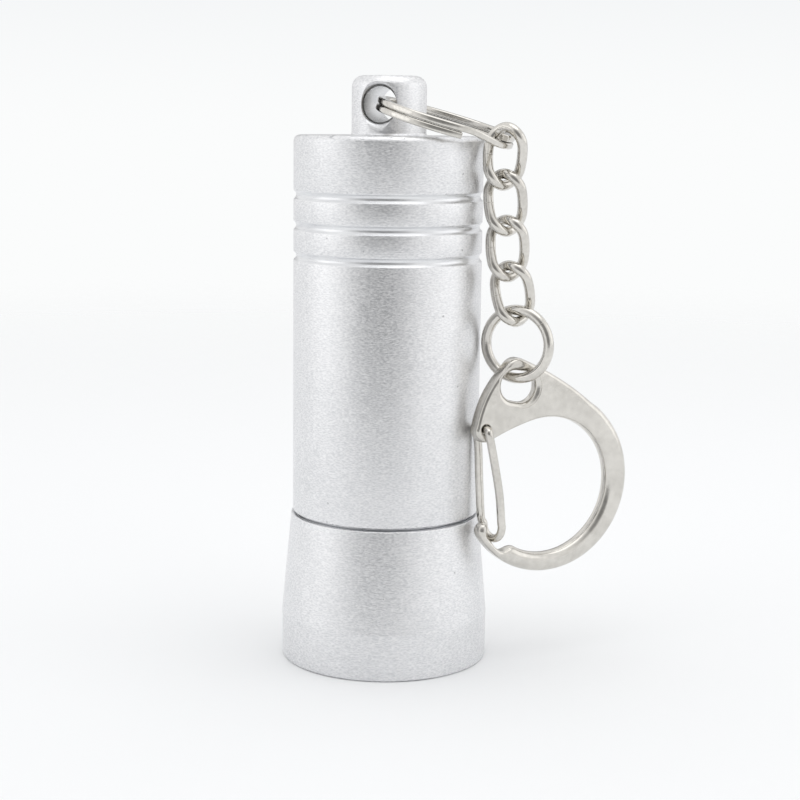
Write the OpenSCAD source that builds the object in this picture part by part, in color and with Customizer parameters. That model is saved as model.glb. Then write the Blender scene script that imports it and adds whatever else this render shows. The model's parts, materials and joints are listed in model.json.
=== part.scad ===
// Keychain flashlight: a twist-head aluminium torch that stands on its bezel, with a battery cage inside
// and a split ring, curb chain, jump ring and wire-gate clasp on its tail lug.
// Millimetres. +Z runs from the bezel face, which holds the origin, to the tail lug.

/* [Battery] */
// Diameter of one cell
cell_d = 10.5; // [9.5:0.1:14.5]
// Length of one cell with its positive nub
cell_l = 44.5; // [36:0.5:56]
// Free space between neighbouring cells
cell_gap = 0.1; // [0.05:0.05:0.4]

/* [Barrel] */
// Wall of the barrel round its bore
barrel_wall = 1.95; // [1.7:0.05:3]
// Solid metal between the bore's end and the tail face
end_wall = 4.2; // [3:0.1:7]
// Radius of the rounded tail edge
tail_round = 0.9; // [0.3:0.1:1.2]
// Depth of each decorative groove
groove_depth = 0.38; // [0.2:0.02:0.6]
// Radius of the cutter that leaves a groove
groove_cut_r = 0.66; // [0.4:0.02:1]
// Distance between neighbouring grooves
groove_pitch = 4.3; // [3:0.1:6]
// Distance from the tail face to the first groove
groove_start = 8.4; // [5:0.1:12]
// Gap left at the seam when the head is not screwed tight
seam_gap = 0.35; // [0.28:0.01:0.5]

/* [Lug] */
// Diameter of the tail lug
lug_d = 10.6; // [9:0.1:13]
// Height of the tail lug above the tail face
lug_h = 8.3; // [7.4:0.1:10]
// Radius of the rounded top of the lug
lug_round = 1.6; // [0.6:0.1:2]
// Diameter of the cross hole for the split ring
lug_hole_d = 4.9; // [4.4:0.1:5.4]
// Height of the cross hole's axis above the tail face
lug_hole_h = 4.3; // [3.8:0.1:4.8]
// Turn of the cross hole's axis about the torch's axis
lug_turn = 18; // [0:1:40]

/* [Head] */
// How far the bezel rim stands out beyond the barrel
flare = 1.55; // [1:0.05:3]
// How far the top of the head stands out beyond the barrel
head_proud = 0.22; // [0:0.02:0.5]
// Height of the head
head_h = 21.3; // [20.6:0.1:25]
// Height of the straight rim at the bezel
rim_h = 6.7; // [4:0.1:9]
// Thickness of the lip that holds the lens
lip_t = 1.2; // [0.8:0.1:1.8]
// Width of the lip's overlap on the lens
lip_in = 1.4; // [0.8:0.1:1.8]
// Thickness of the lens
lens_t = 1.5; // [1:0.1:2]
// Depth of the reflector
reflector_t = 5; // [4:0.1:6]

/* [Thread] */
// Step from the barrel's outside to the thread crest
thread_step = 0.7; // [0.6:0.05:1]
// Depth of the thread
thread_depth = 0.4; // [0.2:0.05:0.5]
// Pitch of the thread
thread_pitch = 1.5; // [1:0.05:2]
// Length of the threaded spigot
spigot_l = 7.8; // [6:0.1:8]
// Radial clearance between the spigot and the head
spigot_fit = 0.1; // [0.06:0.01:0.2]

/* [Lamps] */
// Number of lamps in the outer circle
lamp_count = 8; // [6:1:8]
// Radius of the circle that the outer lamps stand on
lamp_ring_r = 8; // [7.8:0.1:8.4]
// Diameter of a lamp's body
lamp_d = 5; // [4.6:0.1:5]
// Length of a lamp from its flange to its tip
lamp_l = 7.4; // [6.8:0.1:7.6]

/* [Hanging parts] */
// Distance from the bezel rim out to the line that the chain hangs on, which sizes the split ring
chain_clear = 2.15; // [2:0.05:3]
// Radial width of the split ring's wire
ring_w = 1.5; // [1.2:0.1:1.7]
// Thickness of one coil of the split ring
ring_coil_t = 0.92; // [0.7:0.02:1]
// Slope of the resting split ring
ring_slope = 16; // [14:1:20]
// Sideways lean of the resting split ring
ring_lean = -0.7; // [-2:0.1:2]
// Wire diameter of the chain links
link_wire = 1.45; // [1.2:0.05:1.5]
// Outside width of a chain link
link_w = 6.2; // [5.8:0.1:6.6]
// Outside height of a chain link
link_h = 9.5; // [9:0.1:10]
// Wire diameter of the jump ring
jump_wire = 1.5; // [1.3:0.05:1.6]
// Outside diameter of the jump ring
jump_od = 11.2; // [10.4:0.1:12]
// Turn of the jump ring out of the clasp's way
jump_turn = -29; // [-35:1:-20]

/* [Clasp] */
// Inside radius of the clasp's bow
bow_r = 10; // [9:0.1:12]
// Width of the clasp's bow
bow_w = 3.2; // [2.6:0.1:3.6]
// Thickness of the clasp
clasp_t = 2.4; // [2:0.1:2.8]
// Turn of the clasp about the vertical
clasp_turn = 25; // [20:1:35]
// Wire diameter of the gate
gate_wire = 1.2; // [1:0.05:1.3]

/* [Hidden] */

$fn = 64;
arc_steps = 8;
fit = 0.05;
hang_gap = 0.15;
// The first link rests on two flat coils and the clasp on a slanting ring, so both need more room
ring_hang_gap = 0.3;
clasp_hang_gap = 0.35;

// Radii, from the cells outwards
cell_ring_r = (cell_d + cell_gap) / sqrt(3);
cage_r = cell_ring_r + cell_d / 2 + 0.02;
bore_r = cage_r + 0.16;
body_r = bore_r + barrel_wall;
crest_r = body_r - thread_step;
root_r = crest_r - thread_depth;
seal_r = 0.38;
seal_groove_r = root_r - 0.35;
head_bore_r = crest_r + spigot_fit;
head_top_r = body_r + head_proud;
rim_r = body_r + flare;
lip_r = head_bore_r - lip_in;
module_r = head_bore_r - 0.1;
lug_r = lug_d / 2;

// Heights, from the bezel face to the lug
lens_seal_wire = 0.4;
lens_z = lip_t + 2 * lens_seal_wire + 0.1;
reflector_z = lens_z + lens_t + fit;
lamp_tip_z = reflector_z + 0.75;
board_z = lamp_tip_z + lamp_l;
board_t = 1.2;
board_top = board_z + board_t;
spring_wire = 0.5;
spring_base = board_top + fit + spring_wire / 2;
spring_top = spring_base + 1.4;
barrel_z = head_h + seam_gap;
spigot_z = barrel_z - spigot_l;
button_t = 0.4;
button_z = spring_top + spring_wire / 2 + 0.3;
cage_z = button_z + button_t;
plate_t = 1.6;
contact_t = 0.3;
cell_spring_h = 2.4;
inside_z = cage_z + plate_t;
inside_h = contact_t + cell_l + cell_spring_h + 0.1;
cage_top = inside_z + inside_h + plate_t;
tail_contact_t = 0.35;
tail_spring_h = 5;
bore_top = cage_top + tail_contact_t + tail_spring_h;
tail_z = bore_top + end_wall;
total_h = tail_z + lug_h;
hole_z = tail_z + lug_hole_h;

// Hanging parts
chain_out = rim_r + chain_clear;
ring_end = chain_out / cos(ring_slope);
hole_slack = 0.6;
ring_r = (ring_end + hole_slack) / 2;
ring_inset = ring_r - hole_slack;
chain_x = chain_out * cos(lug_turn);
chain_y = -chain_out * sin(lug_turn);
ring_end_z = hole_z - ring_end * sin(ring_slope);
link_a = (link_w - link_wire) / 2;
link_mid_h = link_h - link_wire;
link_step = link_mid_h - link_wire - hang_gap - 0.05;
link_tilt = [-3, 5, 3, 11];
jump_r = (jump_od - jump_wire) / 2;

// Points along an arc, as [x, y] pairs
function arc(c, r, a0, a1, n = arc_steps) =
    [for (i = [0:n]) c + r * [cos(a0 + (a1 - a0) * i / n), sin(a0 + (a1 - a0) * i / n)]];
// Points of a shallow arc from p to q that swells by s to the left
function bow(p, q, s, n = arc_steps) =
    let (d = q - p, l = norm(d), side = [-d[1], d[0]] / l)
    [for (i = [1:n - 1]) let (t = i / n) p + d * t + side * s * 4 * t * (1 - t)];
function unit(v) = v / norm(v);
// Angle of the outside tangent that runs from circle c1, r1 to circle c2, r2, on its right-hand side
function tangent_angle(c1, r1, c2, r2) =
    let (d = c2 - c1) (atan2(d[1], d[0]) - acos((r1 - r2) / norm(d)) + 360) % 360;
function flat(lists) = [for (l = lists) each l];

// A solid swept through rings of points, closed into a loop or capped at its ends
module swept(rings, closed = false) {
    k = len(rings[0]);
    n = len(rings);
    last = closed ? n - 1 : n - 2;
    sides = flat([for (i = [0:last], j = [0:k - 1])
        let (here = i * k, next = ((i + 1) % n) * k, after = (j + 1) % k)
        [[here + j, here + after, next + after], [here + j, next + after, next + j]]]);
    caps = closed ? [] : [[for (j = [k - 1:-1:0]) j], [for (j = [0:k - 1]) (n - 1) * k + j]];
    polyhedron(points = flat(rings), faces = concat(sides, caps), convexity = 6);
}

// Rings of a round wire of radius r along path; ref is a direction that the path never takes
function wire_rings(path, r, ref, closed = false, sides = 10) =
    let (n = len(path))
    [for (i = [0:n - 1])
        let (before = path[closed ? (i + n - 1) % n : max(i - 1, 0)],
             after = path[closed ? (i + 1) % n : min(i + 1, n - 1)],
             t = unit(after - before), u = unit(cross(ref, t)), v = cross(u, t))
        [for (j = [0:sides - 1]) path[i] + r * (cos(360 * j / sides) * u + sin(360 * j / sides) * v)]];

module wire(path, r, ref, closed = false, sides = 10) {
    swept(wire_rings(path, r, ref, closed, sides), closed);
}

// A conical coil spring of wire radius r from radius r0 at z0 to radius r1 at z1
module coil(r0, r1, z0, z1, turns, r, steps = 16) {
    n = turns * steps;
    path = [for (i = [0:n]) let (t = i / n, a = 360 * turns * t, q = r0 + (r1 - r0) * t)
        [q * cos(a), q * sin(a), z0 + (z1 - z0) * t]];
    wire(path, r, [0, 0, 1], sides = 8);
}

module ring_solid(r0, r1, z0, z1) {
    translate([0, 0, z0]) difference() {
        cylinder(r = r1, h = z1 - z0);
        translate([0, 0, -1]) cylinder(r = r0, h = z1 - z0 + 2);
    }
}

module disc(r, z0, z1) {
    translate([0, 0, z0]) cylinder(r = r, h = z1 - z0);
}

module at_lamps() {
    children();
    for (i = [0:lamp_count - 1]) rotate([0, 0, 360 * i / lamp_count]) translate([lamp_ring_r, 0, 0]) children();
}

module at_cell(i) {
    rotate([0, 0, 120 * i + 90]) translate([cell_ring_r, 0, 0]) children();
}

// Head

module head_shell() {
    edge = 0.35;
    mouth = 0.8;
    color("silver") rotate_extrude() polygon(concat(
        [[lip_r, lip_t], [lip_r, mouth], [lip_r + mouth, 0]],
        arc([rim_r - edge, edge], edge, -90, 0, 4),
        [[rim_r, rim_h], [head_top_r, head_h - 0.2], [head_top_r - 0.2, head_h]],
        [[head_bore_r + 0.25, head_h], [head_bore_r, head_h - 0.25], [head_bore_r, lip_t]]));
}

module lens_seal() {
    color("black") rotate_extrude()
        translate([head_bore_r - lens_seal_wire - fit, lip_t + lens_seal_wire + fit / 2])
        circle(r = lens_seal_wire);
}

module lens() {
    bevel = 0.2;
    color("aliceblue") translate([0, 0, lens_z]) rotate_extrude() polygon([[0, 0], [module_r - bevel, 0],
        [module_r, bevel], [module_r, lens_t - bevel], [module_r - bevel, lens_t], [0, lens_t]]);
}

module reflector() {
    mouth_r = lamp_d / 2 + 0.42;
    hole_r = lamp_d / 2 + 0.08;
    color("gainsboro") difference() {
        disc(module_r, reflector_z, reflector_z + reflector_t);
        at_lamps() {
            disc(hole_r, reflector_z - 1, reflector_z + reflector_t + 1);
            translate([0, 0, reflector_z - 0.01])
                cylinder(r1 = mouth_r, r2 = hole_r - 0.02, h = reflector_t * 0.7);
        }
        translate([0, 0, reflector_z + reflector_t - 1.2]) difference() {
            cylinder(r = module_r + 1, h = 2);
            translate([0, 0, -1]) cylinder(r = module_r - 0.8, h = 4);
        }
    }
}

module lamp() {
    r = lamp_d / 2;
    flange_r = r + 0.38;
    pin_r = 0.25;
    rotate_extrude() polygon(concat([[0, board_z - 0.05], [0, lamp_tip_z]],
        arc([0, lamp_tip_z + r], r, -80, 0, 8),
        [[r, board_z - 1.05], [flange_r, board_z - 1.05], [flange_r, board_z - 0.05]]));
    for (x = [-1.27, 1.27]) translate([x, 0, board_z - 0.2]) cylinder(r = pin_r, h = board_t + 0.7);
}

module leds() {
    color("lightyellow") at_lamps() lamp();
}

module spacer_ring() {
    color("dimgray") ring_solid(module_r - 1, module_r, reflector_z + reflector_t + fit, board_z - fit);
}

module led_board() {
    hole_r = 0.4;
    color("darkgreen") difference() {
        disc(module_r, board_z, board_top);
        at_lamps() for (x = [-1.27, 1.27]) translate([x, 0, board_z - 1]) cylinder(r = hole_r, h = board_t + 2);
    }
}

module board_resistor() {
    color("black") rotate([0, 0, 360 / lamp_count / 2]) translate([4.6, -0.8, board_top + 0.02]) cube([1.2, 1.6, 0.5]);
}

module retaining_ring() {
    color("gold") ring_solid(module_r - 1.3, module_r, board_top + 0.02, board_top + 0.37);
}

module contact_spring() {
    color("gold") coil(2.6, 1.5, spring_base, spring_top, 3, spring_wire / 2);
}

// Battery cage

module battery_cage() {
    rib_half = 17;
    color("dimgray") {
        difference() {
            union() {
                disc(cage_r, cage_z, cage_z + plate_t);
                disc(cage_r, cage_top - plate_t, cage_top);
                for (i = [0:2]) rotate([0, 0, 120 * i + 150 - rib_half])
                    translate([0, 0, cage_z]) rotate_extrude(angle = 2 * rib_half)
                    translate([cage_r - 1.9, 0]) square([1.9, cage_top - cage_z]);
            }
            for (i = [0:2]) at_cell(i) translate([0, 0, inside_z]) cylinder(r = cell_d / 2 + 0.1, h = inside_h);
            translate([0, 0, cage_z - 1]) cylinder(r = 1.2, h = plate_t + 2);
            translate([0, 0, cage_top - plate_t - 1]) cylinder(r = 1.2, h = plate_t + 2);
        }
    }
}

module cage_button() {
    color("gold") {
        disc(3.2, button_z, cage_z - 0.02);
        disc(1.1, cage_z - 0.1, inside_z);
    }
}

module cage_tail_contact() {
    color("gold") {
        disc(5.4, cage_top + 0.02, cage_top + tail_contact_t);
        disc(1.1, cage_top - plate_t, cage_top + 0.1);
    }
}

// One round contact plate at each end of each cell
module cell_plates() {
    color("gold") for (i = [0:2]) at_cell(i) {
        disc(3.6, inside_z + 0.02, inside_z + contact_t - 0.05);
        disc(3.6, cage_top - plate_t - contact_t + 0.05, cage_top - plate_t - 0.02);
    }
}

// The middle cell stands the other way up, so its spring is at the head end
module cell_springs() {
    r = 0.22;
    free = cell_spring_h + 0.1 - contact_t - 2 * r - 0.04;
    color("silver") for (i = [0:2]) {
        z = i == 1 ? inside_z + contact_t + r : inside_z + inside_h - contact_t - r;
        at_cell(i) coil(3, 1.7, z, i == 1 ? z + free : z - free, 3, r, 14);
    }
}

module cell(i) {
    r = cell_d / 2 - 0.05;
    nub_r = 1.9;
    nub_h = 0.9;
    crimp = 0.35;
    up = i == 1;
    z = up ? cage_top - plate_t - contact_t : inside_z + contact_t;
    at_cell(i) translate([0, 0, z]) mirror([0, 0, up ? 1 : 0]) rotate_extrude() polygon([[0, 0],
        [nub_r - 0.2, 0], [nub_r, 0.2], [nub_r, nub_h], [r - 1.1, nub_h], [r - 0.9, nub_h - 0.15],
        [r - crimp, nub_h - 0.15], [r, nub_h + 0.25], [r, cell_l - crimp], [r - crimp, cell_l],
        [r - 0.9, cell_l], [r - 1.1, cell_l - 0.15], [0, cell_l - 0.15]]);
}

module cell_1() {
    color("steelblue") cell(0);
}

module cell_2() {
    color("steelblue") cell(1);
}

module cell_3() {
    color("steelblue") cell(2);
}

// Barrel

module tail_spring() {
    r = 0.35;
    color("silver") coil(4.4, 8.6, cage_top + tail_contact_t + r + fit, bore_top - r - fit, 4, r);
}

module head_seal() {
    color("black") rotate_extrude() translate([seal_groove_r + seal_r + 0.02, barrel_z - 1.2]) circle(r = seal_r);
}

function thread_profile() =
    let (first = barrel_z - 2.4, n = floor((spigot_l - 3.2) / thread_pitch))
    flat([for (i = [n - 1:-1:0]) let (z = first - i * thread_pitch)
        [[root_r, z - thread_pitch * 0.62], [crest_r, z - thread_pitch * 0.42],
         [crest_r, z - thread_pitch * 0.3], [root_r, z - thread_pitch * 0.1]]]);

function groove_profile(z) =
    let (out = body_r + groove_cut_r - groove_depth, a = acos((out - body_r) / groove_cut_r))
    arc([out, z], groove_cut_r, 180 + a, 180 - a);

module barrel() {
    foot = 0.2;
    color("silver") difference() {
        rotate_extrude() polygon(concat(
            [[0, bore_top], [bore_r, bore_top], [bore_r, spigot_z + 0.2], [bore_r + 0.2, spigot_z]],
            [[root_r - 0.2, spigot_z], [root_r, spigot_z + 0.2]],
            thread_profile(),
            [[root_r, barrel_z - 1.72], [seal_groove_r, barrel_z - 1.72], [seal_groove_r, barrel_z - 0.68]],
            [[crest_r, barrel_z - 0.68], [crest_r, barrel_z], [body_r - foot, barrel_z], [body_r, barrel_z + foot]],
            flat([for (i = [2:-1:0]) groove_profile(tail_z - groove_start - i * groove_pitch)]),
            arc([body_r - tail_round, tail_z - tail_round], tail_round, 0, 90),
            arc([lug_r + 0.4, tail_z + 0.4], 0.4, 270, 180, 4),
            arc([lug_r - lug_round, total_h - lug_round], lug_round, 0, 90),
            [[0, total_h]]));
        translate([0, 0, hole_z]) rotate([0, 0, -lug_turn]) rotate([90, 0, 0]) {
            translate([0, 0, -lug_r - 1]) cylinder(d = lug_hole_d, h = 2 * lug_r + 2);
            for (s = [0, 1]) mirror([0, 0, s]) translate([0, 0, lug_r - 1.1])
                cylinder(d1 = lug_hole_d - 0.02, d2 = lug_hole_d + 2.4, h = 1.2);
        }
    }
}

// Hanging parts

// Puts things drawn in the split ring's own plane, with its left end at the lug, into place
module on_ring() {
    translate([0, 0, hole_z]) rotate([0, 0, -lug_turn]) rotate([0, ring_slope, 0]) rotate([ring_lean, 0, 0])
        translate([ring_inset, 0, 0]) children();
}

module split_ring() {
    cut = 22;
    jog = 35;
    c = 0.22;
    lift = ring_coil_t / 2 + 0.04;
    w = ring_w / 2;
    t = ring_coil_t / 2;
    section = [[-w + c, -t], [w - c, -t], [w, -t + c], [w, t - c], [w - c, t], [-w + c, t], [-w, t - c], [-w, -t + c]];
    start = cut;
    finish = 720 - cut;
    n = 84;
    color("silver") on_ring() swept([for (i = [0:n])
        let (a = start + (finish - start) * i / n,
             s = min(max((a - 360 + cut) / (2 * cut), 0), 1), z = lift * (1 - 2 * s * s * (3 - 2 * s)),
             q = a - jog)
        [for (p = section) [(ring_r + p[0]) * cos(q), (ring_r + p[0]) * sin(q), z + p[1]]]]);
}

// Centre line of a link that stands on z = 0: two half circles and two straights, twisted a quarter turn
function link_path() =
    let (h = link_mid_h / 2 - link_a, n = 8,
         loop = concat(
            [for (i = [0:n]) [link_a * cos(180 * i / n), h + link_a * sin(180 * i / n)]],
            [for (t = [0.25, 0.5, 0.75]) [-link_a, h - 2 * h * t]],
            [for (i = [0:n]) [-link_a * cos(180 * i / n), -h - link_a * sin(180 * i / n)]],
            [for (t = [0.25, 0.5, 0.75]) [link_a, -h + 2 * h * t]]))
    [for (p = loop) let (turn = -90 * p[1] / link_mid_h)
        [p[0] * cos(turn), p[0] * sin(turn), p[1] - link_mid_h / 2]];

// Where each link's top wire crosses: the offset from the first link's, as [x, z]
function link_drop(i) = i == 0 ? [0, 0] :
    link_drop(i - 1) + [sin(link_tilt[i - 1]) * link_step, -cos(link_tilt[i - 1]) * link_step];

link_top_z = ring_end_z + ring_coil_t + 0.04 + link_wire / 2 + ring_hang_gap;

module chain_link(i) {
    d = link_drop(i);
    color("silver") translate([chain_x + d[0], chain_y, link_top_z + d[1]]) rotate([0, -link_tilt[i], 0])
        wire(link_path(), link_wire / 2, [0, 1, 0], closed = true);
}

module chain_link_1() {
    chain_link(0);
}

module chain_link_2() {
    chain_link(1);
}

module chain_link_3() {
    chain_link(2);
}

module chain_link_4() {
    chain_link(3);
}

// The jump ring hangs in the last link's lower arch
last_drop = link_drop(3) + [sin(link_tilt[3]) * link_mid_h, -cos(link_tilt[3]) * link_mid_h];
jump_x = chain_x + last_drop[0];
jump_z = link_top_z + last_drop[1] + (link_wire + jump_wire) / 2 + hang_gap - jump_r;

module jump_ring() {
    color("silver") translate([jump_x, chain_y, jump_z]) rotate([0, 0, jump_turn]) rotate([90, 0, 0])
        rotate_extrude() translate([jump_r, 0]) circle(d = jump_wire);
}

// The clasp is drawn in its own plane, round the centre of its bow. The eye keeps its distance from the gate's side,
// so that a bigger bow grows away from the torch
pivot_turn = 138.9;
pivot = (bow_r + 3.54) * [cos(pivot_turn), sin(pivot_turn)];
eye_in = 5.05;
eye = [-bow_r + eye_in, bow_r + bow_w + 1.5];
foot_turn = -139;
foot = (bow_r + 1) * [cos(foot_turn), sin(foot_turn)];
eye_h = 4.4;
eye_w = 5.5;
eye_bevel = 0.55;
clasp_z = jump_z - jump_r + jump_wire / 2 + clasp_hang_gap - (eye[1] + eye_h / 2);

module on_clasp() {
    translate([jump_x, chain_y, clasp_z]) rotate([0, 0, clasp_turn]) translate([-eye[0], 0, 0]) rotate([90, 0, 0])
        children();
}

// A slot the shape of the eye that grows by spread over its height
module eye_slot(h, spread = 0) {
    r = eye_h / 2;
    straight = eye_w - eye_h;
    for (s = [-1, 1]) translate([s * straight / 2, 0]) cylinder(r1 = r, r2 = r + spread, h = h);
    rotate([90, 0, 90]) translate([0, 0, -straight / 2]) linear_extrude(height = straight)
        polygon([[-r, 0], [r, 0], [r + spread, h], [-r - spread, h]]);
}

module clasp_hook() {
    out_r = bow_r + bow_w;
    out_c = [0.4, 0.4];
    top_c = eye + [-0.25, 2.1];
    top_r = 2;
    side_c = pivot + [0, -0.35];
    side_r = 1.65;
    a1 = tangent_angle(out_c, out_r, top_c, top_r);
    a2 = tangent_angle(top_c, top_r, side_c, side_r);
    tip_out = 205;
    tip_in = 206;
    notch_r = bow_r + 1.72;
    shoulder = 115;
    p1 = out_c + out_r * [cos(a1), sin(a1)];
    q1 = top_c + top_r * [cos(a1), sin(a1)];
    p2 = top_c + top_r * [cos(a2), sin(a2)];
    q2 = side_c + side_r * [cos(a2), sin(a2)];
    color("silver") on_clasp() translate([0, 0, -clasp_t / 2]) difference() {
        linear_extrude(height = clasp_t) polygon(concat(
            arc(out_c, out_r, tip_out - 360, a1, 28), bow(p1, q1, -0.45), arc(top_c, top_r, a1, a2),
            bow(p2, q2, -0.8), arc(side_c, side_r, a2, 290),
            arc([0, 0], bow_r, shoulder, -122, 28),
            arc([0, 0], notch_r, -124, -145, 4),
            [(bow_r + 0.3) * [cos(tip_in), sin(tip_in)]]));
        for (s = [0, 1]) translate([0, 0, clasp_t / 2]) mirror([0, 0, s]) translate([0, 0, clasp_t / 2 - eye_bevel])
            translate(eye) rotate(-12) eye_slot(eye_bevel + 0.05, eye_bevel + 0.05);
        translate([0, 0, -1]) {
            translate(pivot) cylinder(d = gate_wire + 0.2, h = clasp_t + 2);
            translate(eye) rotate(-12) eye_slot(clasp_t + 2);
        }
    }
}

// The gate is one bent wire: both ends turn into the pivot hole, and its foot rests in the hook's notch.
// Each leg's points stand a share of the way from the pivot to the foot, moved sideways by a little
function on_leg(share, aside) = pivot + (foot - pivot) * share + [aside, 0];
function gate_path() =
    let (side = clasp_t / 2 + gate_wire / 2 + 0.12, b = 0.9, bend = [0.45, 1.9],
         front = [on_leg(0.29, 0.4), on_leg(0.577, 0.75), on_leg(0.825, 0.68)],
         back = [on_leg(0.813, -0.54), on_leg(0.459, -0.27), on_leg(0.205, 0.01)])
    concat(
        [[pivot[0], pivot[1], 0.2], [pivot[0], pivot[1], side - b]],
        [[pivot[0], pivot[1] - 0.2, side - 0.25], [pivot[0] + 0.1, pivot[1] - 0.9, side]],
        [for (p = front) [p[0], p[1], side]],
        [for (a = [0:30:180]) [foot[0] + bend[0] * cos(a), foot[1] + bend[1] * (1 - sin(a)), side * cos(a)]],
        [for (p = back) [p[0], p[1], -side]],
        [[pivot[0] + 0.1, pivot[1] - 0.9, -side], [pivot[0], pivot[1] - 0.2, -side + 0.25]],
        [[pivot[0], pivot[1], -side + b], [pivot[0], pivot[1], -0.2]]);

module clasp_gate() {
    color("silver") on_clasp() wire(gate_path(), gate_wire / 2, [1, 0, 0]);
}

head_shell();
lens_seal();
lens();
reflector();
leds();
spacer_ring();
led_board();
board_resistor();
retaining_ring();
contact_spring();
battery_cage();
cage_button();
cage_tail_contact();
cell_plates();
cell_springs();
cell_1();
cell_2();
cell_3();
tail_spring();
head_seal();
barrel();
split_ring();
chain_link_1();
chain_link_2();
chain_link_3();
chain_link_4();
jump_ring();
clasp_hook();
clasp_gate();
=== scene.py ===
"""Looks of a twist-head aluminium torch with a battery cage, a split ring, a chain and a wire-gate clasp."""

import json
import logging
import math
from collections.abc import Callable, Iterable, Sequence
from dataclasses import dataclass, field
from enum import Enum
from typing import Any

import bmesh
import bpy
from bmesh.types import BMesh
from mathutils import Matrix, Vector


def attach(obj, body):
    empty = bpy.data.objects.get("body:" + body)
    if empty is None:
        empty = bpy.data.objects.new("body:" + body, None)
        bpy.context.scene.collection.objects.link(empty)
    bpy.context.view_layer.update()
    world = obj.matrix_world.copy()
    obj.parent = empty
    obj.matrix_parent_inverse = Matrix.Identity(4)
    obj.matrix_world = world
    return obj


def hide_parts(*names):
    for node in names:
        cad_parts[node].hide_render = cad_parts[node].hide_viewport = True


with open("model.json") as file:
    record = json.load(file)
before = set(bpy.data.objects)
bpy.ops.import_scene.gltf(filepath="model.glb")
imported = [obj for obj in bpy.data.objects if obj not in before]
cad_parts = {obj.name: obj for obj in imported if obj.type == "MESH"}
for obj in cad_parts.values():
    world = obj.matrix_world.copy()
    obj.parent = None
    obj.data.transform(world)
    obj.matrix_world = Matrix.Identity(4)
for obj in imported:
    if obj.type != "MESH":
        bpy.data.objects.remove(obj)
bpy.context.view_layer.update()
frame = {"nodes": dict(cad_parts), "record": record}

LOG = logging.getLogger("torch")
MM = 0.001
Point = tuple[float, float]
Corner = tuple[float, float, float]
Socket = bpy.types.NodeSocket
Tree = bpy.types.NodeTree
Edges = list[bmesh.types.BMEdge]


# Meshes, drawn in millimetres


def turned(angle: float, radius: float, centre: Point = (0, 0)) -> Point:
    """Returns the point at an angle in degrees on a circle."""
    a = math.radians(angle)
    return centre[0] + radius * math.cos(a), centre[1] + radius * math.sin(a)


def arc(centre: Point, radius: float, start: float, end: float, steps: int) -> list[Point]:
    """Returns the points of an arc from one angle to another, in degrees."""
    return [turned(start + (end - start) * i / steps, radius, centre) for i in range(steps + 1)]


def rounded(corners: Sequence[Corner], closed: bool = False, steps: int = 6) -> list[Point]:
    """Rounds the corners of an outline.

    Args:
        corners: Corners as (x, y, radius). A radius of 0 leaves the corner sharp.
        closed: Whether the last corner joins the first.
        steps: Segments in each rounded corner.

    Returns:
        The outline's points in order.
    """
    points: list[Point] = []
    count = len(corners)
    for i, (x, y, radius) in enumerate(corners):
        if radius <= 0 or (not closed and i in (0, count - 1)):
            points.append((x, y))
            continue
        here = Vector((x, y))
        back = Vector(corners[i - 1][:2]) - here
        ahead = Vector(corners[(i + 1) % count][:2]) - here
        half = back.angle(ahead) / 2
        reach = min(radius / math.tan(half), 0.49 * back.length, 0.49 * ahead.length)
        radius = reach * math.tan(half)
        centre = here + (back.normalized() + ahead.normalized()).normalized() * (radius / math.sin(half))
        first = here + back.normalized() * reach - centre
        last = here + ahead.normalized() * reach - centre
        sweep = first.angle_signed(last)
        for k in range(steps + 1):
            spoke = first.copy()
            spoke.rotate(Matrix.Rotation(-sweep * k / steps, 2))
            points.append(tuple(centre + spoke))
    return points


def plate(r0: float, z0: float, r1: float, z1: float, soft: float, steps: int = 6) -> list[Point]:
    """Returns the profile of a flat ring between two radii and two heights, or of a disc if r0 is 0.

    Args:
        r0: Inner radius.
        z0: Lower height.
        r1: Outer radius.
        z1: Upper height.
        soft: Radius of the ring's edges.
        steps: Segments in each edge.

    Returns:
        The profile, open on the axis for a disc and closed for a ring.
    """
    inner = soft if r0 else 0
    return rounded([(r0, z0, inner), (r1, z0, soft), (r1, z1, soft), (r0, z1, inner)], bool(r0), steps)


def turn(degrees: float, axis: str) -> Matrix:
    """Returns a turn about an axis."""
    return Matrix.Rotation(math.radians(degrees), 4, axis)


def shift(*spot: float) -> Matrix:
    """Returns a move by x, y and z."""
    return Matrix.Translation(spot)


def extruded(bm: BMesh, edges: Edges) -> Edges:
    """Extrudes a loop of edges in place and returns the new loop."""
    grown = bmesh.ops.extrude_edge_only(bm, edges=edges)["geom"]
    return [e for e in grown if isinstance(e, bmesh.types.BMEdge) and len(e.link_faces) == 1]


def tidy(bm: BMesh, gap: float = 1e-4) -> BMesh:
    """Merges doubles, drops empty faces and turns the normals outwards."""
    bmesh.ops.remove_doubles(bm, verts=bm.verts, dist=gap)
    bmesh.ops.dissolve_degenerate(bm, edges=bm.edges, dist=gap / 10)
    bmesh.ops.recalc_face_normals(bm, faces=bm.faces)
    return bm


def spun(profile: Sequence[Point], steps: int = 96, closed: bool = False) -> BMesh:
    """Spins a profile of (radius, height) points round the Z axis.

    Args:
        profile: The profile. An open one starts and ends on the axis.
        steps: Segments round the axis.
        closed: Whether the profile's last point joins its first.

    Returns:
        A closed mesh.
    """
    bm = bmesh.new()
    verts = [bm.verts.new((r, 0, z)) for r, z in profile]
    pairs = list(zip(verts, verts[1:])) + ([(verts[-1], verts[0])] if closed else [])
    edges = [bm.edges.new(pair) for pair in pairs]
    geom = verts + edges
    bmesh.ops.spin(bm, geom=geom, cent=(0, 0, 0), axis=(0, 0, 1), angle=math.tau, steps=steps, use_merge=True)
    return tidy(bm)


def circle(radius: float, sides: int = 16) -> list[Point]:
    """Returns the section of a round wire."""
    return [turned(360 * i / sides, radius) for i in range(sides)]


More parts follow.
